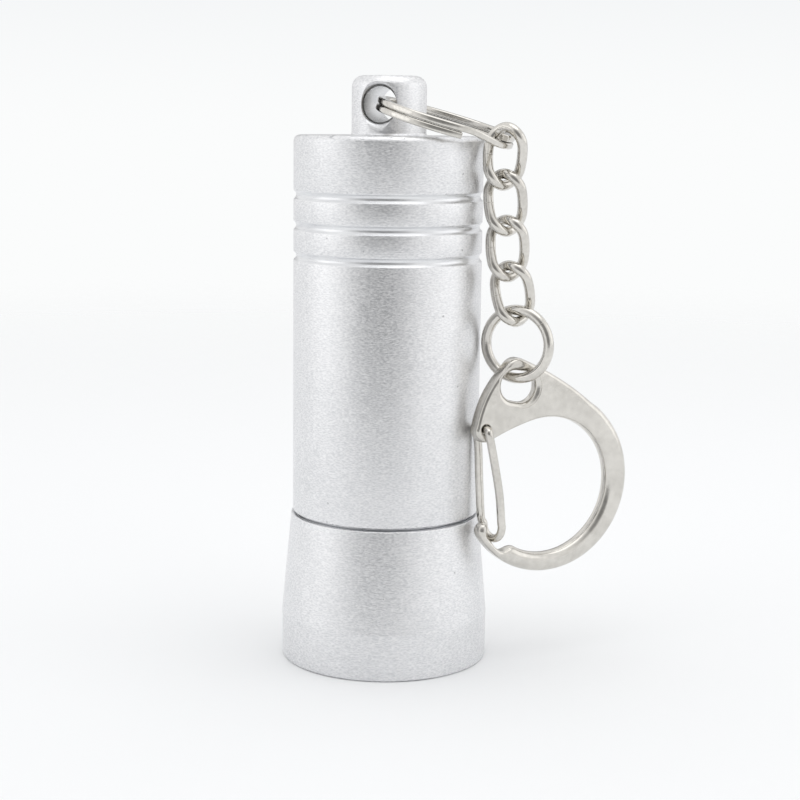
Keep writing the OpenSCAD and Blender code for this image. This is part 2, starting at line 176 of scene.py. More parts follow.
def swept(
    path: Sequence[Vector],
    section: Sequence[Point],
    up: Vector,
    closed: bool = False,
    scales: Sequence[float] = (),
) -> BMesh:
    """Sweeps a section along a path.

    Args:
        path: The centre line.
        section: The section, as (across, up) points.
        up: A direction that the path never takes, which the section's second axis leans towards.
        closed: Whether the path joins itself.
        scales: The section's size at each point of the path, if it changes.

    Returns:
        A closed mesh.
    """
    count = len(path)

    def station(i: int) -> Matrix:
        """Returns the place of the section at point i."""
        before, after = (i - 1, (i + 1) % count) if closed else (max(i - 1, 0), min(i + 1, count - 1))
        along = (path[after] - path[before]).normalized()
        across = up.cross(along).normalized()
        size = scales[i] if scales else 1.0
        facing = Matrix((across, along.cross(across), along)).transposed().to_4x4()
        return shift(*path[i]) @ facing @ Matrix.Diagonal((size, size, size, 1))

    bm = bmesh.new()
    place = station(0)
    ring = [bm.verts.new(place @ Vector((x, y, 0))) for x, y in section]
    edges = [bm.edges.new(pair) for pair in zip(ring, ring[1:] + ring[:1])]
    first = list(edges)
    for i in range(1, count):
        edges = extruded(bm, edges)
        verts = list({v for e in edges for v in e.verts})
        following = station(i)
        bmesh.ops.transform(bm, matrix=following @ place.inverted(), verts=verts)
        place = following
    if closed:
        bmesh.ops.bridge_loops(bm, edges=first + edges)
    else:
        bmesh.ops.edgeloop_fill(bm, edges=first)
        bmesh.ops.edgeloop_fill(bm, edges=edges)
    return tidy(bm)


def domed(path: Sequence[Vector], radius: float, steps: int = 4) -> tuple[list[Vector], list[float]]:
    """Adds a rounded end to each end of a wire's path.

    Args:
        path: The centre line.
        radius: The wire's radius, which each end takes up.
        steps: Rings in each rounded end.

    Returns:
        The longer path, and the section's size at each of its points.
    """
    points, sizes = list(path), [1.0] * len(path)
    for _ in range(2):
        out = (points[-1] - points[-2]).normalized()
        end = points[-1].copy()
        for k in range(1, steps + 1):
            a = math.pi / 2 * k / (steps + 0.35)
            points.append(end + out * radius * math.sin(a))
            sizes.append(math.cos(a))
        points.reverse()
        sizes.reverse()
    return points, sizes


def smooth_path(points: Sequence[Vector], steps: int = 6) -> list[Vector]:
    """Returns a smooth path through points."""
    ends = [points[0] * 2 - points[1], *points, points[-1] * 2 - points[-2]]
    path = []
    for a, b, c, d in zip(ends, ends[1:], ends[2:], ends[3:]):
        for k in range(steps):
            t = k / steps
            curve = (c - a) * t + (2 * a - 5 * b + 4 * c - d) * t**2 + (3 * b - a - 3 * c + d) * t**3
            path.append(b + curve / 2)
    return path + [points[-1].copy()]


def joined(parts: Iterable[BMesh]) -> BMesh:
    """Returns one mesh that holds all the parts."""
    whole = bmesh.new()
    for part in parts:
        mesh = bpy.data.meshes.new("part")
        part.to_mesh(mesh)
        part.free()
        whole.from_mesh(mesh)
        bpy.data.meshes.remove(mesh)
    return whole


def placed(bm: BMesh, place: Matrix) -> BMesh:
    """Moves a whole mesh."""
    bmesh.ops.transform(bm, matrix=place, verts=bm.verts)
    return bm


def bored(bm: BMesh, cutter: BMesh) -> BMesh:
    """Returns a mesh with a closed cutter taken out of it."""
    things = []
    for part in (bm, cutter):
        mesh = bpy.data.meshes.new("cut")
        part.to_mesh(mesh)
        part.free()
        things.append(bpy.data.objects.new("cut", mesh))
        bpy.context.scene.collection.objects.link(things[-1])
    cut = things[0].modifiers.new("cut", "BOOLEAN")
    cut.operation, cut.solver, cut.object = "DIFFERENCE", "EXACT", things[1]
    bpy.context.view_layer.update()
    result = bpy.data.meshes.new_from_object(things[0].evaluated_get(bpy.context.evaluated_depsgraph_get()))
    out = bmesh.new()
    out.from_mesh(result)
    bpy.data.meshes.remove(result)
    for thing in things:
        mesh = thing.data
        bpy.data.objects.remove(thing)
        bpy.data.meshes.remove(mesh)
    bmesh.ops.remove_doubles(out, verts=out.verts, dist=1e-4)
    return out


def trumpet(radius: float, throat: float, reach: float, flare: float, steps: int = 64) -> BMesh:
    """A cutter along Z for a hole whose two mouths open in a smooth curve.

    Args:
        radius: The hole's radius.
        throat: Where the curve starts, measured from the middle.
        reach: Half the cutter's length.
        flare: The curve's radius.
        steps: Segments round the hole.

    Returns:
        The cutter.
    """
    mouth = [(radius + flare * (1 - math.cos(a)), throat + flare * math.sin(a)) for a in
             (math.radians(84) * k / 10 for k in range(11))]
    side = mouth + [(mouth[-1][0], reach)] if reach > mouth[-1][1] else mouth
    profile = [(0, -side[-1][1])] + [(r, -z) for r, z in reversed(side)] + side + [(0, side[-1][1])]
    return spun(profile, steps)


# Finishes


def linear(code: str) -> tuple[float, float, float, float]:
    """Turns an sRGB hex code into a linear colour."""
    parts = [int(code[i : i + 2], 16) / 255 for i in (1, 3, 5)]
    return (*(c / 12.92 if c <= 0.04045 else ((c + 0.055) / 1.055) ** 2.4 for c in parts), 1.0)


def node(tree: Tree, kind: str, links: dict[Any, Any] | None = None, out: Any = 0, **settings: Any) -> Any:
    """Adds a node.

    Args:
        tree: The node tree.
        kind: The node's type, without the word that every shader node starts with.
        links: Socket name or number, to a value or another node's output.
        out: Name or number of the output that is wanted.
        **settings: The node's own properties.

    Returns:
        That output, or nothing for a node that has none.
    """
    made = tree.nodes.new("ShaderNode" + kind)
    for name, value in settings.items():
        setattr(made, name, value)
    for key, value in (links or {}).items():
        if isinstance(value, Socket):
            tree.links.new(value, made.inputs[key])
        else:
            made.inputs[key].default_value = value
    return made.outputs[out] if made.outputs else None


@dataclass(frozen=True)
class Finish:
    """A finish whose tone, gloss and relief vary with fine grain.

    The grain, the blotches and the relief are in millimetres. A pattern's scale is 1 over its size in metres.
    """

    name: str
    light: str
    dark: str
    metallic: float = 0.0
    gloss: tuple[float, float] = (0.3, 0.4)
    grain: float = 0.3
    stretch: tuple[float, float, float] = (1, 1, 1)
    relief: float = 0.01
    blotch: float = 6.0
    mottle: float = 0.5
    extra: dict[str, Any] = field(default_factory=dict)

    def tone(self, tree: Tree, grain: Socket, where: Socket) -> Socket:
        """Returns the base colour: two tones mixed by the grain and by wide soft blotches."""
        blotch = node(tree, "TexNoise", {"Vector": where, "Scale": 1 / (self.blotch * MM), "Detail": 3.0})
        blend = node(tree, "Mix", {0: self.mottle, 2: grain, 3: blotch}, data_type="FLOAT")
        share = node(tree, "MapRange", {"Value": blend, "From Min": 0.35, "From Max": 0.65})
        return node(tree, "Mix", {0: share, 6: linear(self.dark), 7: linear(self.light)}, 2, data_type="RGBA")

    def height(self, tree: Tree, grain: Socket, where: Socket) -> Socket:
        """Returns the relief's height, from 0 to 1."""
        return grain

    def material(self) -> bpy.types.Material:
        """Returns the finish as a material, made once."""
        made = bpy.data.materials.get(self.name)
        if made:
            return made
        made = bpy.data.materials.new(self.name)
        made.use_nodes = True
        tree = made.node_tree
        tree.nodes.clear()
        where = node(tree, "TexCoord", out="Object")
        along = node(tree, "Mapping", {"Vector": where, "Scale": self.stretch})
        grain = node(tree, "TexNoise", {"Vector": along, "Scale": 1 / (self.grain * MM), "Detail": 2.0})
        smooth, rough = self.gloss
        span = {"From Min": 0.3, "From Max": 0.7, "To Min": smooth, "To Max": rough}
        roughness = node(tree, "MapRange", {"Value": grain, **span})
        height = self.height(tree, grain, where)
        normal = node(tree, "Bump", {"Height": height, "Distance": self.relief * MM, "Strength": 1.0})
        colour = self.tone(tree, grain, where)
        looks = {"Base Color": colour, "Metallic": self.metallic, "Roughness": roughness, "Normal": normal}
        shader = node(tree, "BsdfPrincipled", {**looks, **self.extra})
        node(tree, "OutputMaterial", {"Surface": shader})
        return made


@dataclass(frozen=True)
class BlastedFinish(Finish):
    """Clear-anodised, bead-blasted aluminium with small pits darkened by painted shade, and nicks along its
    turned edges.
    """

    edges: tuple[float, ...] = ()
    pit_gap: float = 2.6
    # Colour of the painted shade in the pits
    pit_shade_tone: str = "#77787A"
    nick_grain: float = 0.9
    nick_band: tuple[float, float] = (0.12, 0.6)
    nick_tone: str = "#B4B6B8"

    def nicks(self, tree: Tree, where: Socket) -> Socket:
        """Returns where the coat is chipped: broken specks in narrow bands at the edges' heights."""
        height = node(tree, "SeparateXYZ", {0: where}, "Z")
        near, far = self.nick_band
        band: Any = 0.0
        for z in self.edges:
            offset = node(tree, "Math", {0: height, 1: z * MM}, operation="SUBTRACT")
            away = node(tree, "Math", {0: offset}, operation="ABSOLUTE")
            fall = {"From Min": near * MM, "From Max": far * MM, "To Min": 1.0, "To Max": 0.0}
            share = node(tree, "MapRange", {"Value": away, **fall})
            band = node(tree, "Math", {0: share, 1: band}, operation="MAXIMUM")
        specks = node(tree, "TexNoise", {"Vector": where, "Scale": 1 / (self.nick_grain * MM), "Detail": 3.0})
        chip = node(tree, "MapRange", {"Value": specks, "From Min": 0.62, "From Max": 0.72})
        return node(tree, "Math", {0: chip, 1: band}, operation="MULTIPLY")

    def pits(self, tree: Tree, where: Socket) -> Socket:
        """Returns pits about a quarter of a millimetre wide in some cells of a loose grid, for their dent and
        for their painted shade.
        """
        distance = node(tree, "TexVoronoi", {"Vector": where, "Scale": 1 / (self.pit_gap * MM)})
        fall = {"From Min": 0.03, "From Max": 0.07, "To Min": 1.0, "To Max": 0.0}
        pit = node(tree, "MapRange", {"Value": distance, **fall})
        chance = node(tree, "SeparateXYZ", {0: distance.node.outputs["Color"]}, "X")
        chosen = node(tree, "Math", {0: chance, 1: 0.72}, operation="GREATER_THAN")
        return node(tree, "Math", {0: pit, 1: chosen}, operation="MULTIPLY")

    def tone(self, tree: Tree, grain: Socket, where: Socket) -> Socket:
        """Returns the two-tone coat, darkened by painted shade in its pits and duller where it is chipped."""
        coat = super().tone(tree, grain, where)
        # Painted shade: each pit's colour is darkened as if it lay in shadow
        pit_shade = node(tree, "Math", {0: self.pits(tree, where), 1: 0.45}, operation="MULTIPLY")
        pit_shaded = node(tree, "Mix", {0: pit_shade, 6: coat, 7: linear(self.pit_shade_tone)}, 2, data_type="RGBA")
        chip = self.nicks(tree, where)
        return node(tree, "Mix", {0: chip, 6: pit_shaded, 7: linear(self.nick_tone)}, 2, data_type="RGBA")

    def height(self, tree: Tree, grain: Socket, where: Socket) -> Socket:
        """Returns the blasted relief, with pits and chips sunk into it."""
        chips = self.nicks(tree, where)
        worn = node(tree, "Math", {0: chips, 1: self.pits(tree, where)}, operation="MAXIMUM")
        return node(tree, "Math", {0: worn, 1: -1.5, 2: grain}, operation="MULTIPLY_ADD")


@dataclass(frozen=True)
class SleeveFinish(Finish):
    """A printed plastic sleeve on a cell, with a broad band and a thin line at its positive end."""

    tip: float = 0.0
    way: int = 1
    band: str = "#C98A2B"
    line: str = "#E9E6DC"

    def tone(self, tree: Tree, grain: Socket, where: Socket) -> Socket:
        """Returns the printed bands, measured from the positive end."""
        colour = super().tone(tree, grain, where)
        height = node(tree, "SeparateXYZ", {0: where}, "Z")
        offset = node(tree, "Math", {0: height, 1: self.tip * MM}, operation="SUBTRACT")
        along = node(tree, "Math", {0: offset, 1: float(self.way)}, operation="MULTIPLY")
        for end, code in ((13.0, self.line), (12.2, self.band)):
            inside = node(tree, "Math", {0: along, 1: end * MM}, operation="LESS_THAN")
            colour = node(tree, "Mix", {0: inside, 6: colour, 7: linear(code)}, 2, data_type="RGBA")
        return colour


CLEAR = {"Transmission Weight": 1.0}


class Coat(Enum):
    """The torch's finishes, each named for the real one."""

    # Bead-blasted, clear-anodised aluminium: a bright frosted grey with soft wide highlights. The blasting
    # leaves dents of 0.05 to 0.1 mm, which are drawn as a 0.3 mm grain so that they show
    BLASTED = BlastedFinish("blasted_anodised_aluminium", "#F3F3F4", "#D6D7D9", 1.0, (0.34, 0.5), 0.3,
                            (0.65, 0.65, 2), 0.036, mottle=0.14, edges=(75.55, 21.72, 67.85))
    # Machined aluminium under the same coat: fine turning lines, drawn at 0.12 mm, and a sharper gloss
    TURNED = Finish("turned_aluminium", "#ECEDEE", "#D6D7DA", 1.0, (0.26, 0.36), 0.12, (0.05, 0.05, 1), 0.003)
    # Nickel-plated wire: slightly warm and nearly mirror bright, with faint drawing marks
    NICKEL = Finish("nickel_plated_wire", "#E0DDD7", "#CAC7C1", 1.0, (0.08, 0.17), 0.5, relief=0.004)
    # Nickel-plated zinc casting: polished, a little softer and wavier than the wire
    CASTING = Finish("nickel_plated_zinc_casting", "#DDDAD4", "#CAC7C1", 1.0, (0.13, 0.22), 0.9, relief=0.012)
    # Drawn spring wire: duller grey nickel
    SPRING = Finish("plated_spring_wire", "#BDBBB7", "#A3A19D", 1.0, (0.24, 0.36), 0.3, relief=0.004)
    # Stamped brass contacts: yellow metal with a faint brown tarnish
    BRASS = Finish("tarnished_brass", "#D8B56A", "#B8924A", 1.0, (0.22, 0.36), 0.5, relief=0.004, blotch=2.5)
    # Nickel-plated steel can ends of a cell
    STEEL = Finish("nickel_plated_steel_can", "#C9C8C4", "#B3B2AE", 1.0, (0.18, 0.3), 0.6, relief=0.003)
    # Tinned solder: soft dull silver
    SOLDER = Finish("tinned_solder", "#C4C6C8", "#A7A9AB", 1.0, (0.25, 0.4), 0.4, relief=0.01)
    # Polished acrylic: clear, with a dust-fine haze
    ACRYLIC = Finish("polished_clear_acrylic", "#FBFDFE", "#F4F8FA", 0.0, (0.01, 0.04), 0.5, relief=0.001,
                     extra={**CLEAR, "IOR": 1.49})
    # Vacuum-metallised ABS: a mirror with the moulding's slight waviness
    MIRROR = Finish("vacuum_metallised_abs", "#E6E7EA", "#DADBDF", 1.0, (0.05, 0.1), 2.0, relief=0.01)
    # Clear epoxy of a moulded lamp, with a faint yellow cast
    EPOXY = Finish("clear_lamp_epoxy", "#FBFAF0", "#F3F1E2", 0.0, (0.02, 0.05), 0.6, relief=0.002,
                   extra={**CLEAR, "IOR": 1.55})
    # Phosphor gel over the chip: matt pale yellow
    PHOSPHOR = Finish("yellow_phosphor_gel", "#F2DE5E", "#E3C93F", 0.0, (0.5, 0.7), 0.1, relief=0.01)
    # Injection-moulded black ABS: dark grey with an eggshell sheen
    ABS = Finish("moulded_black_abs", "#26272A", "#1B1C1E", 0.0, (0.38, 0.52), 0.25, relief=0.01,
                 extra={"IOR": 1.53})
    # Green solder mask over fibreglass: glossy, with the weave faintly showing
    MASK = Finish("green_solder_mask", "#1E6B3C", "#155630", 0.0, (0.22, 0.34), 0.5, relief=0.008,
                  extra={"Coat Weight": 0.4, "Coat Roughness": 0.12})
    # Fired black glaze on a chip resistor
    GLAZE = Finish("black_resistor_glaze", "#1A1A1C", "#101012", 0.0, (0.2, 0.3), 0.15, relief=0.004)
    # Nitrile rubber: matt black with a slight bloom
    RUBBER = Finish("black_nitrile_rubber", "#222222", "#161616", 0.0, (0.55, 0.7), 0.2, relief=0.008,
                    extra={"IOR": 1.52})


@dataclass(frozen=True)
class Where:
    """What a finished piece stands for in the assembly."""

    body: str
    slot: str
    nodes: tuple[str, ...] = ()


def finished(name: str, bm: BMesh, coats: Sequence[Finish], where: Where, crease: float = 38) -> None:
    """Makes a piece from a mesh in millimetres and puts it on its body.

    Args:
        name: The piece's name.
        bm: The mesh, which is used up.
        coats: Its finishes, in the order of the faces' material numbers.
        where: The body that it goes on and the CAD nodes that it stands for; the material slot in it is not
            used.
        crease: Edges that turn more than this many degrees stay sharp.
    """
    bmesh.ops.scale(bm, vec=(MM, MM, MM), verts=bm.verts)
    mesh = bpy.data.meshes.new(name)
    bm.to_mesh(mesh)
    bm.free()
    for coat in coats:
        mesh.materials.append(coat.material())
    mesh.shade_smooth()
    mesh.set_sharp_from_angle(angle=math.radians(crease))
    made = bpy.data.objects.new(name, mesh)
    bpy.context.scene.collection.objects.link(made)
    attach(made, where.body)
    if where.nodes:
        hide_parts(*where.nodes)
    LOG.info("%s: %d faces on %s", name, len(mesh.polygons), where.body)


def coil(r0: float, r1: float, z0: float, z1: float, turns: float, wire: float) -> BMesh:
    """A conical coil spring with rounded wire ends.

    Args:
        r0: Radius at the first end.
        r1: Radius at the last end.
        z0: Height of the first end.
        z1: Height of the last end.
        turns: Number of turns.
        wire: The wire's radius.

    Returns:
        The spring.
    """
    steps = int(turns * 36)
    path = []
    for i in range(steps + 1):
        t = i / steps
        x, y = turned(360 * turns * t, r0 + (r1 - r0) * t)
        path.append(Vector((x, y, z0 + (z1 - z0) * t)))
    ends, sizes = domed(path[1:-1], wire * 0.8, 2)
    return swept(ends, circle(wire, 12), Vector((0, 0, 1)), scales=sizes)


def torus(radius: float, z: float, wire: float, steps: int = 96) -> BMesh:
    """A round ring of wire about the Z axis."""
    return spun([(radius + x, z + y) for x, y in circle(wire, 20)], steps, closed=True)


def mark(bm: BMesh, number: int, chosen: Callable[[Vector], bool]) -> None:
    """Gives the faces whose middle is chosen another material number."""
    for face in bm.faces:
        if chosen(face.calc_center_median()):
            face.material_index = number


# Sub-assemblies


@dataclass
class Thread:
    """A helical thread pressed into the rings of a spun wall."""

    low: float
    high: float
    pitch: float = 1.5
    depth: float = 0.4
    fade: float = 0.8
    # The ridge's height, in depths, is crest less flank times the share of a turn from its middle
    crest: float = 1.55
    flank: float = 4.2

    def levels(self, steps: int = 14) -> list[float]:
        """Returns the heights that the wall's profile needs, from low to high."""
        count = round((self.high - self.low) / self.pitch * steps)
        return [self.low + (self.high - self.low) * i / count for i in range(count + 1)]

    def cut(self, bm: BMesh, radius: float) -> None:
        """Pushes the wall of the given radius outwards along a right-handed helix."""
        for vert in bm.verts:
            r = math.hypot(vert.co.x, vert.co.y)
            if abs(r - radius) > 1e-3 or not self.low - 1e-6 <= vert.co.z <= self.high + 1e-6:
                continue
            phase = (vert.co.z / self.pitch - math.atan2(vert.co.y, vert.co.x) / math.tau) % 1.0
            ridge = min(max(self.crest - self.flank * abs(phase - 0.5), 0.0), 1.0)
            near = min(vert.co.z - self.low, self.high - vert.co.z) / self.fade
            grow = 1 + self.depth * ridge * min(max(near, 0.0), 1.0) / r
            vert.co.x *= grow
            vert.co.y *= grow


@dataclass
class Head:
    """The flared head shell with its lens, reflector, lamps, circuit board and front seals."""

    rim_r: float = 15.05
    rim_h: float = 6.7
    top_r: float = 13.72
    height: float = 21.3
    bore_r: float = 12.9
    lip_r: float = 11.5
    lip_t: float = 1.2
    module_r: float = 12.8
    lens_z: float = 2.1
    lens_t: float = 1.5
    reflector_z: float = 3.65
    reflector_t: float = 5.0
    lamp_tip: float = 4.4
    lamp_r: float = 2.5
    lamp_ring: float = 8.0
    lamp_count: int = 8
    lead: float = 1.27
    board_z: float = 11.8
    board_t: float = 1.2

    def lamp_places(self) -> list[Matrix]:
        """Returns the places of the middle lamp and of the circle of lamps round it."""
        step = 360 / self.lamp_count
        ring = [turn(step * i, "Z") @ shift(self.lamp_ring, 0, 0) for i in range(self.lamp_count)]
        return [Matrix.Identity(4), *ring]

    def shell(self) -> BMesh:
        """Builds the shell with its straight rim, slow taper, lens lip and threaded bore."""
        thread = Thread(13.6, 19.9, depth=0.3)
        corners = [(self.lip_r, self.lip_t, 0.1), (self.lip_r, 0.8, 0.25), (self.lip_r + 0.8, 0, 0.12),
                   (self.rim_r, 0, 0.35), (self.rim_r, self.rim_h, 1.2), (self.top_r, self.height, 0.22),
                   (self.bore_r, self.height, 0.3)]
        wall = [(self.bore_r, z) for z in reversed(thread.levels())]
        profile = rounded([*corners, (self.bore_r, self.lip_t, 0.05)], closed=True)
        split = next(i for i, p in enumerate(profile) if p[0] < self.bore_r + 1e-6 and p[1] < 2 and i > 20)
        bm = spun(profile[:split] + wall + profile[split:], 192, closed=True)
        thread.cut(bm, self.bore_r)
        mark(bm, 1, lambda c: math.hypot(c.x, c.y) < self.bore_r + 0.5 and c.z > 0.6)
        return bm

    def reflector(self) -> BMesh:
        """Builds the reflector plate with a curved cup round each lamp."""
        top = self.reflector_z + self.reflector_t
        low, r = self.reflector_z, self.module_r
        step_r, step_z = r - 0.8, top - 1.2
        disc = rounded([(0, low, 0), (r, low, 0.2), (r, step_z, 0.1), (step_r, step_z, 0.1),
                        (step_r, top, 0.2), (0, top, 0)])
        throat, mouth = self.lamp_r + 0.08, self.lamp_r + 0.46
        wall = [(throat + (mouth - throat) * (1 - k / 8) ** 2, low - 0.05 + 3.6 * k / 8) for k in range(9)]
        cup = [(0, low - 0.3), (mouth + 0.06, low - 0.3), *wall, (throat, top + 0.3), (0, top + 0.3)]
        return bored(spun(disc, 96), joined(placed(spun(cup, 40), place) for place in self.lamp_places()))

    def lamp_parts(self) -> tuple[BMesh, BMesh, BMesh]:
        """Builds the nine lamps' epoxy bodies, their lead frames, and the phosphor dots in their cups."""
        r, foot = self.lamp_r, self.board_z - 0.05
        dome = [(x, self.lamp_tip + r - y) for x, y in arc((0, 0), r, 90, 0, 10)]
        body = [*dome, (r, foot - 1.1), (r + 0.36, foot - 1.0), (r + 0.36, foot), (0, foot)]
        cup_z = self.lamp_tip + 2.9
        anvil = [(0, 0.45), (0.35, 0.4), (0.75, 0), (0.95, 0), (0.95, 1.0), (0.4, 1.6), (0, 1.6)]
        gel = [(0, 0.16), (0.45, 0.2), (0.62, 0.14), (0.3, 0.4), (0, 0.44)]
        bodies, frames, dots = [], [], []
        for place in self.lamp_places():
            bodies.append(placed(spun(body, 40), place))
            frames.append(placed(spun([(r, cup_z + z) for r, z in anvil], 24), place))
            for side in (-self.lead, self.lead):
                top = Vector((side * 0.45, 0, cup_z + 1.2 if side < 0 else cup_z + 0.6))
                bend = [top, Vector((side * 0.6, 0, cup_z + 2.6)), Vector((side, 0, cup_z + 3.8)),
                        Vector((side, 0, self.board_z + self.board_t + 0.45))]
                path, sizes = domed(smooth_path(bend), 0.2, 2)
                frames.append(placed(swept(path, circle(0.24, 10), Vector((0, 1, 0)), scales=sizes), place))
            dots.append(placed(spun([(r, cup_z + z) for r, z in gel], 24), place))
        return joined(bodies), joined(frames), joined(dots)

    def board(self) -> tuple[BMesh, BMesh]:
        """Builds the circuit board, and the solder joints and contact pad on it."""
        top = self.board_z + self.board_t
        disc = spun(plate(0, self.board_z, self.module_r - 0.02, top, 0.1), 96)
        trace = rounded([(1.9, top + 0.004, 0), (3.3, top + 0.004, 0.02), (3.3, top + 0.05, 0.03),
                         (1.9, top + 0.05, 0.03)], closed=True)
        joints = [spun(trace, 64, closed=True)]
        for place in self.lamp_places()[1:]:
            for side in (-self.lead, self.lead):
                fillet = [(0, top + 0.004), (0.72, top + 0.004), (0.66, top + 0.06), (0.42, top + 0.2),
                          (0.3, top + 0.44), (0, top + 0.5)]
                joints.append(placed(spun(fillet, 20), place @ shift(side, 0, 0)))
        return disc, joined(joints)

    def resistor(self) -> tuple[BMesh, BMesh]:
        """Builds the chip resistor's body and its two tinned caps."""
        place = turn(180 / self.lamp_count, "Z") @ shift(5.2, 0, self.board_z + self.board_t + 0.27)

        def block(size: tuple[float, float, float], at: tuple[float, float, float], edge: float) -> BMesh:
            """A rounded block of the given size at a point."""
            bm = bmesh.new()
            bmesh.ops.create_cube(bm, size=1)
            bmesh.ops.scale(bm, vec=size, verts=bm.verts)
            bmesh.ops.bevel(bm, geom=list(bm.edges), offset=edge, offset_type="OFFSET", segments=3,
                            profile=0.5, affect="EDGES", material=-1)
            return placed(bm, place @ shift(*at))

        caps = [block((1.18, 0.3, 0.5), (0, side * 0.64, 0), 0.05) for side in (-1, 1)]
        return block((1.12, 1.3, 0.44), (0, 0, 0), 0.04), joined(caps)

    def dress(self) -> None:
        """Builds and finishes every piece of the head."""
        finished("head_shell_turned", self.shell(), [Coat.BLASTED.value, Coat.TURNED.value],
                 Where("head", "anodised_aluminium", ("head_shell",)), 30)
        z, t, r = self.lens_z, self.lens_t, self.module_r
        finished("lens_polished", spun(plate(0, z, r, z + t, 0.2), 128), [Coat.ACRYLIC.value],
                 Where("head", "clear_acrylic", ("lens",)))
        finished("lens_seal_cord", torus(12.45, 1.625, 0.395), [Coat.RUBBER.value],
                 Where("head", "seal_rubber", ("lens_seal",)))
        finished("reflector_cups", self.reflector(), [Coat.MIRROR.value],
                 Where("head", "plated_reflector", ("reflector",)))
        bodies, frames, dots = self.lamp_parts()
        finished("lamp_bodies", bodies, [Coat.EPOXY.value], Where("head", "led_epoxy", ("leds",)))
        finished("lamp_frames", frames, [Coat.STEEL.value], Where("head", "spring_steel"))
        finished("lamp_phosphor", dots, [Coat.PHOSPHOR.value], Where("head", "led_epoxy"))
        finished("spacer_moulded", spun(plate(r - 1, 8.7, r, 11.75, 0.12), closed=True), [Coat.ABS.value],
                 Where("head", "black_plastic", ("spacer_ring",)))
        board, joints = self.board()
        finished("led_board_masked", board, [Coat.MASK.value], Where("head", "circuit_board", ("led_board",)))
        finished("board_solder", joints, [Coat.SOLDER.value], Where("head", "spring_steel"))
        chip, caps = self.resistor()
        finished("resistor_chip", chip, [Coat.GLAZE.value],
                 Where("head", "resistor_black", ("board_resistor",)))
        finished("resistor_caps", caps, [Coat.SOLDER.value], Where("head", "spring_steel"))
        ring = spun(plate(r - 1.3, 13.02, r, 13.37, 0.1), closed=True)
        finished("retaining_ring_stamped", ring, [Coat.BRASS.value],
                 Where("head", "contact_brass", ("retaining_ring",)))
        finished("contact_spring_coil", coil(2.6, 1.5, 13.3, 14.7, 3, 0.25), [Coat.SPRING.value],
                 Where("head", "spring_steel", ("contact_spring",)))


